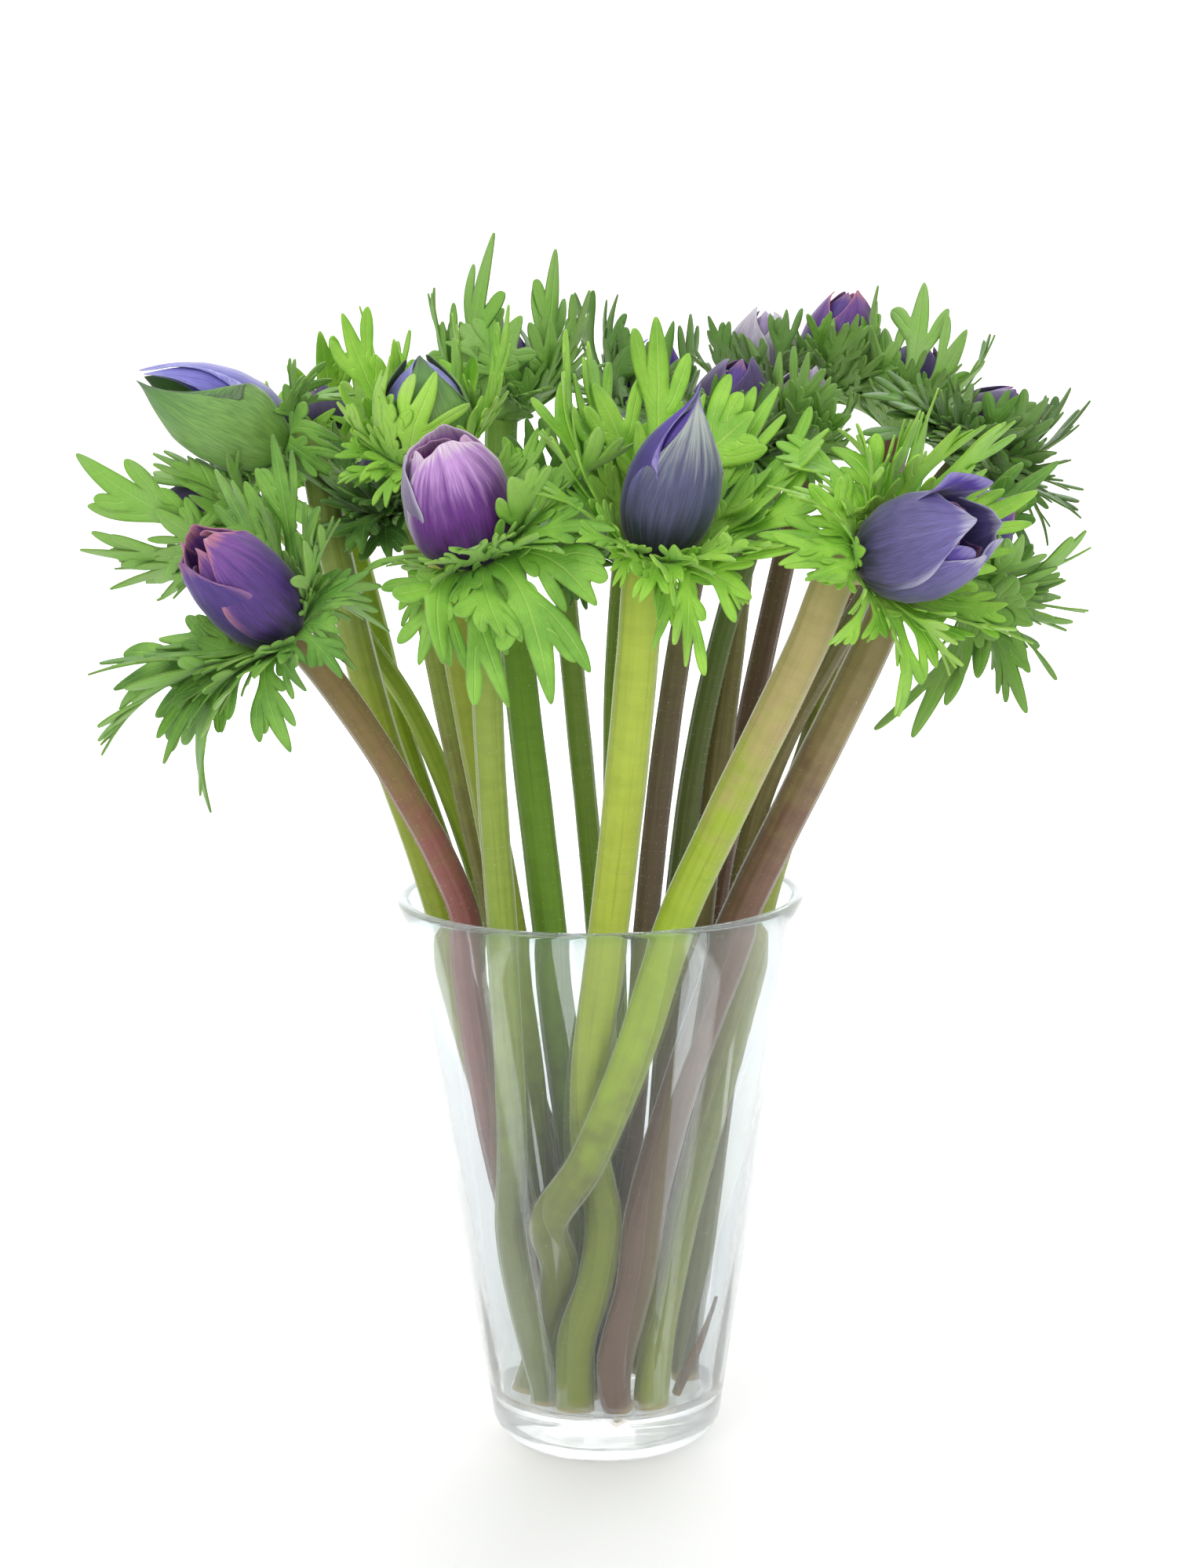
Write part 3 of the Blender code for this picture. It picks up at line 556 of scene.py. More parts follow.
def petal_silk():
    """Up a petal: base, body and tip colours drawn into one another as streaks, and paler edges."""
    tree, given = shader_group("petal silk", ("Base", "Body", "Tip", "Edge"))
    across, along = surface_shares(tree)
    streaks = noise(tree, stretched(tree, across, along, 16, 1.3), 1.3)
    hairs = noise(tree, stretched(tree, across, along, 70, 6), 1.3, 2.0)
    drift = times(tree, calc(tree, "SUBTRACT", streaks, 0.5), 0.75)
    place = calc(tree, "ADD", along, drift)
    lower = mixed(tree, fade(tree, place, 0.05, 0.5), given["Base"], given["Body"])
    colour = mixed(tree, fade(tree, place, 0.5, 1.0), lower, given["Tip"])
    side = times(tree, fade(tree, off_middle(tree, across), 0.8, 1.0), fade(tree, along, 0.25, 0.7))
    top = fade(tree, calc(tree, "ADD", along, times(tree, drift, 0.25)), 0.9, 0.99)
    colour = mixed(tree, times(tree, calc(tree, "MAXIMUM", side, top), 0.8), colour, given["Edge"])
    shade = fade(tree, hairs, 0.3, 0.75)
    colour = mixed(tree, times(tree, shade, 0.6), colour, (0.36, 0.36, 0.42, 1.0), "MULTIPLY")
    height = calc(tree, "ADD", hairs, times(tree, streaks, 1.2))
    put_out(tree, colour, height)
    return tree


GROUPS = {"stem skin": stem_skin, "leaf blade": leaf_blade, "petal silk": petal_silk}


def plain_finish(name, values):
    """A new material and its shader, with the shader's own values set."""
    made = bpy.data.materials.new(name)
    made.use_nodes = True
    shader = made.node_tree.nodes["Principled BSDF"]
    for label, value in values.items():
        shader.inputs[label].default_value = value
    return made, shader


def grown_finish(name, group_name, colours, roughness, sheen, bump):
    """A plant's finish: a group's colour and height, under a soft sheen. Made once for each name."""
    found = bpy.data.materials.get(name)
    if found is not None:
        return found
    values = {"Roughness": roughness, "Sheen Weight": sheen, "Sheen Roughness": 0.35}
    made, shader = plain_finish(name, values)
    tree = made.node_tree
    inner = bpy.data.node_groups.get(group_name) or GROUPS[group_name]()
    group = tree.nodes.new("ShaderNodeGroup")
    group.node_tree = inner
    for label, colour in colours.items():
        group.inputs[label].default_value = linear(colour)
    relief = add(tree, "ShaderNodeBump", {"Height": group.outputs["Height"], "Strength": bump})
    relief.inputs["Distance"].default_value = 0.3 * MM
    tree.links.new(group.outputs["Colour"], shader.inputs["Base Color"])
    tree.links.new(relief.outputs[0], shader.inputs["Normal"])
    return made


def stem_finish(name):
    colours = dict(zip(("Low", "Middle", "High"), STEM_COLOURS[name]))
    return grown_finish("stem " + name, "stem skin", colours, 0.55, 0.7, 0.5)


def down_finish():
    """Fine pale hairs."""
    return plain_finish("down", {"Base Color": linear((0.90, 0.91, 0.84)), "Roughness": 0.6})[0]


def cut_finish():
    colours = dict(Low=(0.62, 0.52, 0.34), Middle=(0.62, 0.52, 0.34), High=(0.62, 0.52, 0.34))
    return grown_finish("cut end", "stem skin", colours, 0.8, 0.0, 0.8)


def leaf_finishes(tone):
    """A leaf's upper side and its paler underside."""
    blade, deep, rib, under = LEAF_COLOURS[tone]
    upper = grown_finish("leaf " + tone, "leaf blade", dict(Blade=blade, Deep=deep, Rib=rib), 0.5, 0.12, 0.6)
    colours = dict(Blade=under, Deep=blade, Rib=rib)
    return [upper, grown_finish("leaf underside " + tone, "leaf blade", colours, 0.6, 0.2, 0.6)]


def petal_finish(name):
    colours = dict(zip(("Base", "Body", "Tip", "Edge"), PETALS[name]))
    return grown_finish("petal " + name, "petal silk", colours, 0.5, 0.3, 0.35)


def glass_finish(tint):
    """Clear glass that lets light through to what stands in it."""
    values = {"Roughness": 0.0, "IOR": GLASS_IOR, "Specular IOR Level": 0.25, "Transmission Weight": 1.0}
    made, shader = plain_finish("clear glass", values)
    tree = made.node_tree
    place = add(tree, "ShaderNodeTexCoord").outputs["Object"]
    height = add(tree, "ShaderNodeSeparateXYZ", {0: place}).outputs[2]
    rim = fade(tree, height, VASE_TOP - 4 * MM, VASE_TOP - 1 * MM)
    colour = mixed(tree, rim, (0.93, 0.97, 0.99, 1.0), (*tint, 1.0))
    tree.links.new(colour, shader.inputs["Base Color"])
    clear = add(tree, "ShaderNodeBsdfTransparent", {"Color": (0.96, 0.97, 0.97, 1.0)})
    path = add(tree, "ShaderNodeLightPath")
    lighting = calc(tree, "MAXIMUM", path.outputs["Is Shadow Ray"], path.outputs["Is Diffuse Ray"])
    lighting = calc(tree, "MAXIMUM", lighting, GLASS_CLARITY)
    mix = add(tree, "ShaderNodeMixShader", {0: lighting, 1: shader.outputs[0], 2: clear.outputs[0]})
    tree.links.new(mix.outputs[0], tree.nodes["Material Output"].inputs["Surface"])
    return made


def stalk_finish():
    colours = dict(Low=(0.42, 0.30, 0.18), Middle=(0.50, 0.36, 0.22), High=(0.36, 0.25, 0.16))
    return grown_finish("dry stalk", "stem skin", colours, 0.85, 0.1, 0.8)


# Vase


def arc(centre, radius, start_deg, end_deg, steps):
    """Points on an arc in a profile's plane, as (distance from axis, height)."""
    angles = np.radians(np.linspace(start_deg, end_deg, steps))
    return [(centre[0] + radius * math.cos(a), centre[1] + radius * math.sin(a)) for a in angles]


def vase_profile(sizes):
    """Half the vase's section, from the middle of the foot round the rim to the middle of the floor."""
    heel, wall, floor = sizes.heel_height, sizes.wall, sizes.floor
    side = arc((sizes.heel_radius - heel, heel), heel, -78, 0, 14)
    lip_radius = wall / 2
    lip = arc((RIM_RADIUS - lip_radius, VASE_TOP - lip_radius), lip_radius, 0, 180, 14)
    neck = sizes.heel_radius + (RIM_RADIUS - sizes.lip_flare - sizes.heel_radius) * 0.962
    below_lip = (neck, VASE_TOP - 5 * MM)
    corner_height = floor + sizes.inner_corner
    rise = (corner_height - heel) / (VASE_TOP - heel)
    corner_radius = sizes.heel_radius + (RIM_RADIUS - sizes.lip_flare - sizes.heel_radius) * rise - wall
    corner = arc((corner_radius - sizes.inner_corner, corner_height), sizes.inner_corner, 0, -90, 10)
    foot = [(0, 0.6 * MM), (sizes.foot_radius * 0.8, 0.6 * MM), (sizes.foot_radius * 0.88, 0)]
    top, bottom = np.array((neck - wall, VASE_TOP - 5 * MM)), np.array(corner[0])
    inside = [tuple(top + (bottom - top) * t) for t in np.linspace(0, 0.96, 14)]
    return [*foot, (sizes.foot_radius, 0), *side, below_lip, *lip, *inside, *corner, (0, floor)]


def facet_inside(bm, sizes):
    """Presses soft upright facets into the inside of the wall, fading out towards the rim."""
    for vertex in bm.verts:
        x, y, z = vertex.co
        radius = math.hypot(x, y)
        wall = sizes.heel_radius + (RIM_RADIUS - sizes.heel_radius) * z / VASE_TOP - sizes.wall * 0.6
        if z > sizes.floor and radius < wall:
            fading = 1 - z / VASE_TOP
            depth = sizes.facets * fading * (0.5 - 0.5 * math.cos(math.atan2(y, x) * FACETS))
            vertex.co.xy *= 1 - depth / max(radius, sizes.foot_radius)


class VaseSizes(bpy.types.PropertyGroup):
    wall: in_mm("Wall", "Thickness of the glass wall", 2.8)
    floor: in_mm("Floor", "Thickness of the glass floor", 12)
    heel_radius: in_mm("Heel radius", "Outside radius at the heel", 28.9)
    heel_height: in_mm("Heel height", "Height of the rounded heel", 9)
    foot_radius: in_mm("Foot radius", "Radius of the flat foot", 21.3)
    inner_corner: in_mm("Inner corner", "Rounding between wall and floor inside", 4)
    lip_flare: in_mm("Lip flare", "How far the lip stands out from the wall", 1)
    facets: in_mm("Facet depth", "Depth of the soft facets inside", 0.25)
    tint: FloatVectorProperty(name="Rim tint", description="Tint of the glass at its rim", subtype="COLOR",
                              default=(0.72, 0.88, 0.88), min=0, max=1)


class ANEMONE_OT_vase(bpy.types.Operator):
    """Turns the vase's section into clear glass with soft facets inside"""

    bl_idname = "anemone.vase"
    bl_label = "Vase"

    def execute(self, context):
        sizes = context.scene.anemone_vase
        bm = bmesh.new()
        points = [bm.verts.new((radius, 0, height)) for radius, height in vase_profile(sizes)]
        edges = [bm.edges.new(pair) for pair in zip(points, points[1:])]
        bmesh.ops.spin(bm, geom=points + edges, axis=(0, 0, 1), cent=(0, 0, 0), steps=VASE_STEPS,
                       angle=FULL_TURN, use_merge=True)
        bmesh.ops.remove_doubles(bm, verts=bm.verts, dist=0.001 * MM)
        bmesh.ops.dissolve_degenerate(bm, dist=0.001 * MM, edges=bm.edges)
        bmesh.ops.recalc_face_normals(bm, faces=bm.faces)
        facet_inside(bm, sizes)
        finished(bm, "glass_vase", [glass_finish(sizes.tint)], ["vase"])
        return {"FINISHED"}


# Stems


class StemSizes(bpy.types.PropertyGroup):
    ridge: in_mm("Ridge depth", "Depth of a stem's soft ridges", 0.10)
    hair: in_mm("Hair length", "Length of the down on stems", 0.8)
    hair_width: in_mm("Hair width", "Radius of a hair at its root", 0.04)
    hairs: IntProperty(name="Hairs", description="Number of hairs on each stem", default=900, min=0)


def tube(centres, radii, sides, rows, ridge, seed):
    """A tube along a route with soft ridges and slight swellings, open at both ends."""
    line = smooth_curve(centres, rows + 1)
    widths = np.interp(np.linspace(0, 1, rows + 1), np.linspace(0, 1, len(radii)), radii)
    runs = np.gradient(line, axis=0)
    runs /= np.linalg.norm(runs, axis=1)[:, None]
    side = np.cross(runs[0], (0.0, 1.0, 0.0))
    frames = []
    for run in runs:
        side = side - run * side.dot(run)
        side /= np.linalg.norm(side)
        frames.append((side, np.cross(run, side)))
    wave = random.Random(seed).uniform(0, 6)

    def place(across, along):
        row = round(along * rows)
        angle = across * FULL_TURN
        swell = math.sin(row * 0.21 + wave) * 0.5 + math.sin(row * 0.53 + wave * 2) * 0.3
        radius = widths[row] - ridge * (1.2 + math.cos(angle * 7 + wave) + swell)
        first, second = frames[row]
        return Vector(line[row] + (first * math.cos(angle) + second * math.sin(angle)) * radius)

    bm = draped_grid(sides, rows, place)
    bmesh.ops.remove_doubles(bm, verts=bm.verts, dist=0.002 * MM)
    return bm, line, frames, widths


def close_ends(bm, material_index):
    """Fills a tube's two open ends."""
    for face in bmesh.ops.holes_fill(bm, edges=bm.edges)["faces"]:
        face.material_index = material_index
    bmesh.ops.recalc_face_normals(bm, faces=bm.faces)


def add_hair(hairs, line, frames, widths, sizes, draw):
    """One fine hair at a drawn place on a stem."""
    row = draw.randrange(4, len(line) - 2)
    angle = draw.uniform(0, FULL_TURN)
    first, second = frames[row]
    out = Vector(first * math.cos(angle) + second * math.sin(angle))
    lean = Vector(line[row + 1] - line[row - 1]).normalized() * draw.uniform(-0.3, 0.8)
    length = sizes.hair * draw.uniform(0.5, 1.0)
    turn = (out + lean).to_track_quat("Z", "Y").to_matrix().to_4x4()
    root = Vector(line[row]) + out * (widths[row] - sizes.ridge * 2)
    middle = root + (out + lean).normalized() * length / 2
    bmesh.ops.create_cone(hairs, segments=3, radius1=sizes.hair_width, radius2=sizes.hair_width / 6,
                          depth=length, matrix=Matrix.Translation(middle) @ turn)


def add_down(bm, line, frames, widths, sizes, draw):
    """Sets short fine hairs all over a stem, some at a time."""
    for done in range(0, sizes.hairs, HAIRS_AT_ONCE):
        hairs = bmesh.new()
        for _ in range(min(HAIRS_AT_ONCE, sizes.hairs - done)):
            add_hair(hairs, line, frames, widths, sizes, draw)
        for face in hairs.faces:
            face.material_index = 2
        joined(bm, hairs)


class ANEMONE_OT_stems(bpy.types.Operator):
    """Grows ridged stems with cut feet along the routes of the solids"""

    bl_idname = "anemone.stems"
    bl_label = "Stems"

    def execute(self, context):
        sizes = context.scene.anemone_stems
        down = down_finish()
        for number, name in enumerate(FLOWERS):
            flower = Flower(name)
            bm, *route = tube(flower.centres, flower.radii, STEM_SIDES, STEM_ROWS, sizes.ridge, number)
            close_ends(bm, 1)
            add_down(bm, *route, sizes, random.Random(500 + number))
            materials = [stem_finish(name), cut_finish(), down]
            finished(bm, name + "_stem", materials, ["stem_" + name])
        return {"FINISHED"}


class ANEMONE_OT_fallen_stalk(bpy.types.Operator):
    """Makes the dry leaf stalk that has dropped into the vase"""

    bl_idname = "anemone.fallen_stalk"
    bl_label = "Fallen stalk"

    def execute(self, context):
        centres = np.array([(17.5, -10.5, 13.7), (22.0, -12.0, 26.0), (26.5, -13.0, 40.0)]) * MM
        bm, *_ = tube(centres, (1.2 * MM, 0.9 * MM, 0.5 * MM), 10, 24, 0.05 * MM, 5)
        close_ends(bm, 0)
        finished(bm, "dry_stalk", [stalk_finish()], ["fallen_stalk"])
        return {"FINISHED"}


# Leaves


class LeafSizes(bpy.types.PropertyGroup):
    thickness: in_mm("Thickness", "Thickness of a leaf", 0.45)
    finger: FloatProperty(name="Finger width", default=0.165, min=0.05, max=0.4, subtype="FACTOR",
                          description="Width of a leaf's fingers, as a share of its length")
    spread: FloatProperty(name="Spread", description="Angle between a leaf's fingers",
                          default=math.radians(38), subtype="ANGLE")
    lobe: FloatProperty(name="Lobe length", description="Length of a finger's lobes, as a share of its own",
                        default=0.42, min=0.0, max=1.0, subtype="FACTOR")
    arch: FloatProperty(name="Arch", description="Angle between a bud's axis and the start of its leaves",
                        default=math.radians(54), subtype="ANGLE")
    gap: in_mm("Gap", "Room left between leaves and buds", 0.7)


def heading(angle):
    """A direction in a flat leaf, turned from the leaf's length towards its right."""
    return Vector((math.sin(angle), math.cos(angle), 0))


def grow(bm, pair, corners, shares):
    """Extrudes the edge between two vertices to two corners. Returns the new vertices."""
    grown = bmesh.ops.extrude_edge_only(bm, edges=[bm.edges.get(pair)])["geom"]
    new = [g for g in grown if isinstance(g, bmesh.types.BMVert)]
    new.sort(key=lambda v: (v.co - pair[0].co).length)
    for vertex, corner in zip(new, corners):
        vertex.co = corner
    uv = bm.loops.layers.uv["surface"]
    for loop in bm.edges.get(new).link_faces[0].loops:
        side = 0 if loop.vert in (pair[0], new[0]) else 1
        loop[uv].uv = (side, shares[0] if loop.vert in pair else shares[1])
    return new


def grow_lobe(bm, pair, angle, reach, share, draw):
    """A blunt lobe on a finger's side."""
    middle = (pair[0].co + pair[1].co) / 2
    half = (pair[1].co - pair[0].co).length / 2
    lift = draw.uniform(-0.04, 0.04)
    bend = draw.uniform(-0.25, 0.25)
    for step, width in LOBE_OUTLINE:
        turned = angle + bend * step
        across = heading(turned + math.pi / 2) * half * width
        tip = middle + heading(turned) * reach * step + Vector((0, 0, lift * step))
        end = share + 0.3 * step * (1 - share)
        pair = grow(bm, pair, (tip - across, tip + across), (share, end))


def grow_finger(bm, pair, angle, length, width, start, sizes, draw):
    """One finger of a flat leaf, grown from an edge in steps, with lobes on both sides."""
    at = (pair[0].co + pair[1].co) / 2
    steps = len(FINGER_OUTLINE)
    rungs, angles = [pair], [angle]
    sway = draw.uniform(-0.11, 0.11)
    lift = draw.uniform(-0.10, 0.07)
    shares = [start + (1 - start) * k / steps for k in range(steps + 1)]
    for k, outline in enumerate(FINGER_OUTLINE):
        angle += sway
        at = at + heading(angle) * length / steps + Vector((0, 0, lift * (k / steps) ** 2))
        across = heading(angle + math.pi / 2) * width * outline / 2
        rungs.append(grow(bm, rungs[-1], (at - across, at + across), shares[k : k + 2]))
        angles.append(angle)
    for side in (0, 1):
        main = draw.choice((2, 3))
        large = (main, draw.uniform(0.8, 1.15))
        small = (main + draw.choice((-1, 1)), draw.uniform(0.35, 0.6))
        for k, reach in (large, small):
            if reach < SHORTEST_LOBE:
                continue
            low, high = rungs[k][side], rungs[k + 1][side]
            lean = draw.uniform(0.42, 0.75) * (1 if side else -1)
            root = (high, low) if side else (low, high)
            grow_lobe(bm, root, angles[k] + lean, length * sizes.lobe * reach, shares[k], draw)


def flat_leaf(sizes, seed):
    """A flat leaf one unit long: a strap that parts into lobed fingers."""
    draw = random.Random(seed)
    bm = mapped()
    foot = [bm.verts.new((side * 0.09, 0, 0)) for side in (-1, 1)]
    bm.edges.new(foot)
    strap = grow(bm, foot, [Vector((side * 0.09, 0.14, 0)) for side in (-1, 1)], (0.0, 0.14))
    palm = grow(bm, strap, [Vector((side * 0.11, 0.3, 0)) for side in (-1, 1)], (0.14, 0.3))
    width = sizes.finger
    grow_finger(bm, palm, draw.uniform(-0.1, 0.1), 0.7, width, 0.3, sizes, draw)
    for side, low, high in ((-1, strap[0], palm[0]), (1, strap[1], palm[1])):
        root = (low, high) if side < 0 else (high, low)
        lean = side * sizes.spread * draw.uniform(0.8, 1.25)
        grow_finger(bm, root, lean, draw.uniform(0.5, 0.66), width * 0.92, 0.24, sizes, draw)
    for side, low, high in ((-1, foot[0], strap[0]), (1, foot[1], strap[1])):
        if draw.random() < 0.45:
            root = (low, high) if side < 0 else (high, low)
            lean = side * sizes.spread * draw.uniform(1.5, 1.9)
            grow_finger(bm, root, lean, draw.uniform(0.34, 0.46), width * 0.8, 0.15, sizes, draw)
    bmesh.ops.recalc_face_normals(bm, faces=bm.faces)
    if sum(face.normal.z for face in bm.faces) < 0:
        bmesh.ops.reverse_faces(bm, faces=bm.faces)
    return bm


def lay_leaf(leaf, flower, tip, flowers, sizes, draw):
    """Bends a flat leaf from its collar over to a tip: out along the bud first, then over."""
    reach = tip - flower.base
    out = reach - flower.axis * reach.dot(flower.axis)
    if out.length < 4 * MM:
        out = flower.around(draw.uniform(0, 360)) * 4 * MM
    out.normalize()
    start = flower.base - flower.axis * 2 * MM + out * flower.radii[-1] * 0.8
    control = start + (flower.axis * math.cos(sizes.arch) + out * math.sin(sizes.arch)) * reach.length * 0.5
    length = (control - start).length * 0.5 + (tip - control).length * 0.6
    across = out.cross(flower.axis)
    curl = draw.uniform(0.3, 1.2)
    roll = draw.uniform(-0.9, 0.9)
    for vertex in leaf.verts:
        x, y, z = vertex.co
        share = min(y, 1.0)
        run = ((control - start) * (1 - share) + (tip - control) * share).normalized()
        place = start * (1 - share) ** 2 + control * 2 * share * (1 - share) + tip * share**2
        place += run * (y - share) * length
        up = across.cross(run)
        turned = across * math.cos(roll * share) + up * math.sin(roll * share)
        place += (turned * x + up * (z + curl * x * x)) * length
        for other in flowers:
            place = other.clear(place, sizes.gap)
        vertex.co = place


class ANEMONE_OT_leaves(bpy.types.Operator):
    """Grows the finely cut leaves of every collar"""

    bl_idname = "anemone.leaves"
    bl_label = "Leaves"

    def execute(self, context):
        sizes = context.scene.anemone_leaves
        flowers = [Flower(name) for name in FLOWERS]
        for number, flower in enumerate(flowers):
            name = flower.name
            draw = random.Random(100 + number)
            tone, tips = FRONDS[name]
            bm = mapped()
            outer = [Vector(tip) * MM for tip in tips]
            inner = [tip.lerp(flower.base, 0.3) + Vector(draw.uniform(-6, 6) * MM for _ in range(3))
                     for tip in outer[::2]]
            for tip in outer + inner:
                leaf = flat_leaf(sizes, draw.random())
                lay_leaf(leaf, flower, tip, flowers, sizes, draw)
                joined(bm, leaf)
            piece = finished(bm, name + "_leaves", leaf_finishes(tone), ["leaves_" + name])
            rounded(piece, 1 if tone == "dark" else 2)
            blade = piece.modifiers.new("blade", "SOLIDIFY")
            blade.thickness = sizes.thickness
            blade.offset = 0.0
            blade.material_offset = 1
        return {"FINISHED"}


# Buds


class BudSizes(bpy.types.PropertyGroup):
    petal: in_mm("Petal thickness", "Thickness of a petal", 0.4)
    lap: in_mm("Lap", "How far one petal stands off the next", 0.6)
    sink: in_mm("Sink", "How far the petals' roots sink into the stem", 1.2)


def bud_share(share):
    """A bud's radius at a share of its length, as a share of its widest radius."""
    return np.interp(share, *zip(*BUD_OUTLINE))


def flare(opening, share):
    """How far a petal that opens leans out, as a share of the bud's widest radius."""
    return opening * 2.2 * max(share - 0.45, 0) ** 2


def petal(flower, row, shape, sizes, phases):
    """One petal of a bud, cupped round its axis: narrow at the base, round or pointed at the tip."""
    _, turn, spread, layer, opening, height = row
    crumple = shape["crumple"]

    def place(across, along):
        side = 2 * across - 1
        share = along * (1 - shape["point"] * side**2 * along) * height
        half = spread * math.sqrt(max(math.sin(math.pi * (0.16 + 0.70 * along)), 0.05))
        angle = turn + side * half
        turned = math.radians(angle)
        ripple = math.sin(turned * 5 + phases[0] + share * 3) * 0.6 + math.sin(turned * 11 + phases[1]) * 0.4
        fold = math.sin(share * 9 + phases[2] + turned * 2) * 0.5
        radius = bud_share(share) * (1 - (1 - shape["mouth"]) * share**6) + flare(opening, along)
        radius += crumple * (0.07 * ripple * share**2 + 0.035 * fold * share)
        radius = flower.width * 0.97 * radius - (layer - 0.7 * side * along) * sizes.lap
        radius = max(radius, 0.3 * MM)
        lift = flower.length * share + flower.width * 0.07 * crumple * ripple * along**3 - sizes.sink
        return flower.base + flower.axis * lift + flower.around(angle) * radius

    return draped_grid(*shape.get("grid", PETAL_GRID), place)


class ANEMONE_OT_buds(bpy.types.Operator):
    """Closes overlapping petals into a bud on every stem"""

    bl_idname = "anemone.buds"
    bl_label = "Buds"

    def execute(self, context):
        sizes = context.scene.anemone_buds
        for number, name in enumerate(FLOWERS):
            flower = Flower(name)
            shape = BUDS[name]
            draw = random.Random(300 + number)
            phases = [draw.uniform(0, 6) for _ in range(3)]
            palette = sorted({row[0] for row in shape["petals"]})
            bm = mapped()
            for row in shape["petals"]:
                part = petal(flower, row, shape, sizes, phases)
                for face in part.faces:
                    face.material_index = palette.index(row[0])
                joined(bm, part)
            bmesh.ops.recalc_face_normals(bm, faces=bm.faces)
            piece = finished(bm, name + "_bud", [petal_finish(c) for c in palette], ["bud_" + name])
            shell = piece.modifiers.new("petals", "SOLIDIFY")
            shell.thickness = sizes.petal
            shell.offset = 0.0
            rounded(piece, 1)
        return {"FINISHED"}


# Stage


CAMERA_TURN = math.radians(0.16)
CAMERA_ROLL = math.radians(-0.785)

# Each light's name, its place, where it points, its width in metres and its power in watts.
LIGHTS = (
    ("key", (-0.9, -1.2, 1.3), BUNCH_MIDDLE, 1.0, 9),
    ("fill", (1.2, -0.9, 0.7), BUNCH_MIDDLE, 1.0, 4),
    ("back", (0.3, 1.2, 1.2), BUNCH_MIDDLE, 1.0, 8),
    ("wash", (0, 1.4, 2.6), (0, 3.6, 1.2), 2.0, 90),
)


class StageSizes(bpy.types.PropertyGroup):
    lens: FloatProperty(name="Lens", description="Focal length of the camera in millimetres", default=85.27)
    distance: FloatProperty(name="Distance", description="Camera's distance from the vase", default=0.9,
                            unit="LENGTH")
    height: FloatProperty(name="Height", description="Camera's height over the floor", default=0.3254,
                          unit="LENGTH")
    pitch: FloatProperty(name="Pitch", description="How far the camera looks down",
                         default=math.radians(9.986), subtype="ANGLE")
    floor: FloatVectorProperty(name="Floor", description="Colour of the floor and backdrop", subtype="COLOR",
                               default=(0.92, 0.92, 0.92), min=0, max=1)


def make_backdrop(colour):
    """A pale floor that sweeps up behind the vase."""
    start, bend, reach, half_width = 3.0, 1.2, 6.0, 7.0
    bm = bmesh.new()
    turns = np.linspace(0, math.pi / 2, 9)
    sweep = [(start + bend * math.sin(a), bend - bend * math.cos(a)) for a in turns]
    outline = [(-reach, 0), *sweep, (start + bend, reach)]
    line = [bm.verts.new((-half_width, y, z - FLOOR_GAP)) for y, z in outline]
    edges = [bm.edges.new(pair) for pair in zip(line, line[1:])]
    widened = bmesh.ops.extrude_edge_only(bm, edges=edges)["geom"]
    far = [g for g in widened if isinstance(g, bmesh.types.BMVert)]
    bmesh.ops.translate(bm, vec=(2 * half_width, 0, 0), verts=far)
    bmesh.ops.recalc_face_normals(bm, faces=bm.faces)
    mesh = smooth_mesh(bm, "backdrop")
    values = {"Base Color": (*colour, 1.0), "Roughness": 0.8, "Specular IOR Level": 0.1}
    mesh.materials.append(plain_finish("backdrop paper", values)[0])
    placed("backdrop", mesh)


def add_light(name, place, aim, size, power):
    data = bpy.data.lights.new(name, "AREA")
    data.size = size
    data.energy = power
    light = placed(name, data)
    light.location = place
    light.rotation_euler = (Vector(aim) - Vector(place)).to_track_quat("-Z", "Y").to_euler()


def light_world():
    """A white surround: full white where it is seen, and a little darker to the left and right."""
    world = bpy.data.worlds.new("studio")
    world.use_nodes = True
    tree = world.node_tree
    path = add(tree, "ShaderNodeLightPath")
    seen = path.outputs["Is Camera Ray"]
    ray = add(tree, "ShaderNodeSeparateXYZ", {0: add(tree, "ShaderNodeTexCoord").outputs["Generated"]})
    sideways = fade(tree, calc(tree, "ABSOLUTE", ray.outputs[0]), 0.55, 0.9)
    darker = times(tree, sideways, AMBIENT_AT_SIDES - AMBIENT)
    lighting = calc(tree, "ADD", AMBIENT, darker)
    strength = add(tree, "ShaderNodeMix", {0: seen, 2: lighting, 3: 1.0}).outputs[0]
    background = tree.nodes["Background"]
    background.inputs["Color"].default_value = (1.0, 1.0, 1.0, 1.0)
    tree.links.new(strength, background.inputs["Strength"])
    bpy.context.scene.world = world


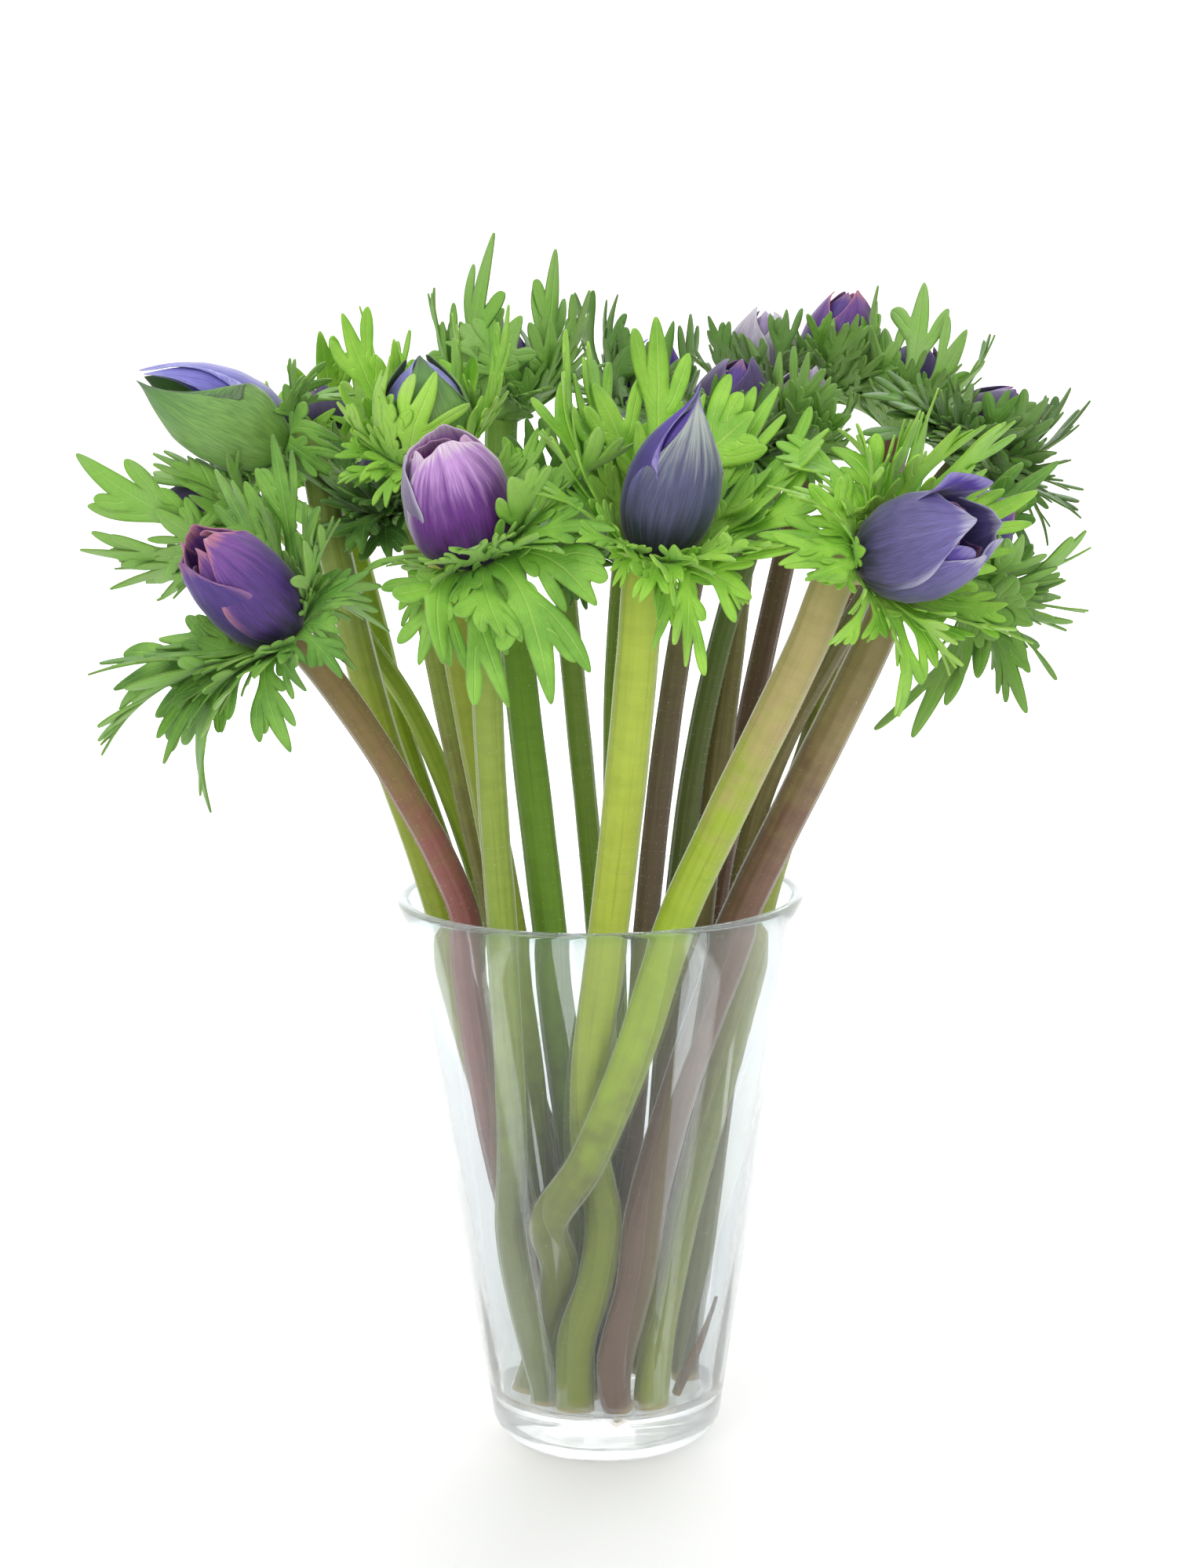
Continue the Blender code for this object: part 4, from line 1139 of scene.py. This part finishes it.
class ANEMONE_OT_stage(bpy.types.Operator):
    """Sets up the pale floor, the soft lights and the camera"""

    bl_idname = "anemone.stage"
    bl_label = "Stage"

    def execute(self, context):
        sizes = context.scene.anemone_stage
        make_backdrop(sizes.floor)
        light_world()
        for name, place, aim, size, power in LIGHTS:
            add_light(name, place, aim, size, power)
        camera = placed("camera", bpy.data.cameras.new("camera"))
        camera.data.lens = sizes.lens
        camera.data.sensor_width = 36
        turn = Matrix.Rotation(CAMERA_TURN, 4, "Z")
        pitch = Matrix.Rotation(math.pi / 2 - sizes.pitch, 4, "X")
        roll = Matrix.Rotation(CAMERA_ROLL, 4, "Z")
        place = Matrix.Translation((0, -sizes.distance, sizes.height))
        camera.matrix_world = place @ turn @ pitch @ roll
        context.scene.camera = camera
        context.scene.view_settings.view_transform = "Standard"
        return {"FINISHED"}


# Panel and registration


class ANEMONE_PT_panel(bpy.types.Panel):
    bl_label = "Anemones"
    bl_idname = "ANEMONE_PT_panel"
    bl_space_type = "VIEW_3D"
    bl_region_type = "UI"
    bl_category = "Anemones"

    def draw(self, context):
        for operator in OPERATORS:
            self.layout.operator(operator.bl_idname)
        for name in SETTINGS:
            group = getattr(context.scene, name)
            box = self.layout.box()
            for key in group.__annotations__:
                box.prop(group, key)


SETTINGS = {
    "anemone_vase": VaseSizes,
    "anemone_stems": StemSizes,
    "anemone_leaves": LeafSizes,
    "anemone_buds": BudSizes,
    "anemone_stage": StageSizes,
}
OPERATORS = (
    ANEMONE_OT_stage, ANEMONE_OT_vase, ANEMONE_OT_stems, ANEMONE_OT_fallen_stalk, ANEMONE_OT_leaves,
    ANEMONE_OT_buds,
)
CLASSES = (*SETTINGS.values(), *OPERATORS, ANEMONE_PT_panel)


def register():
    for cls in CLASSES:
        bpy.utils.register_class(cls)
    for name, group in SETTINGS.items():
        setattr(bpy.types.Scene, name, PointerProperty(type=group))


def unregister():
    for name in SETTINGS:
        delattr(bpy.types.Scene, name)
    for cls in reversed(CLASSES):
        bpy.utils.unregister_class(cls)


def main():
    register()
    bpy.ops.anemone.stage()
    bpy.ops.anemone.vase()
    bpy.ops.anemone.stems()
    bpy.ops.anemone.fallen_stalk()
    bpy.ops.anemone.leaves()
    bpy.ops.anemone.buds()
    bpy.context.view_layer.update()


if __name__ == "__main__":
    main()
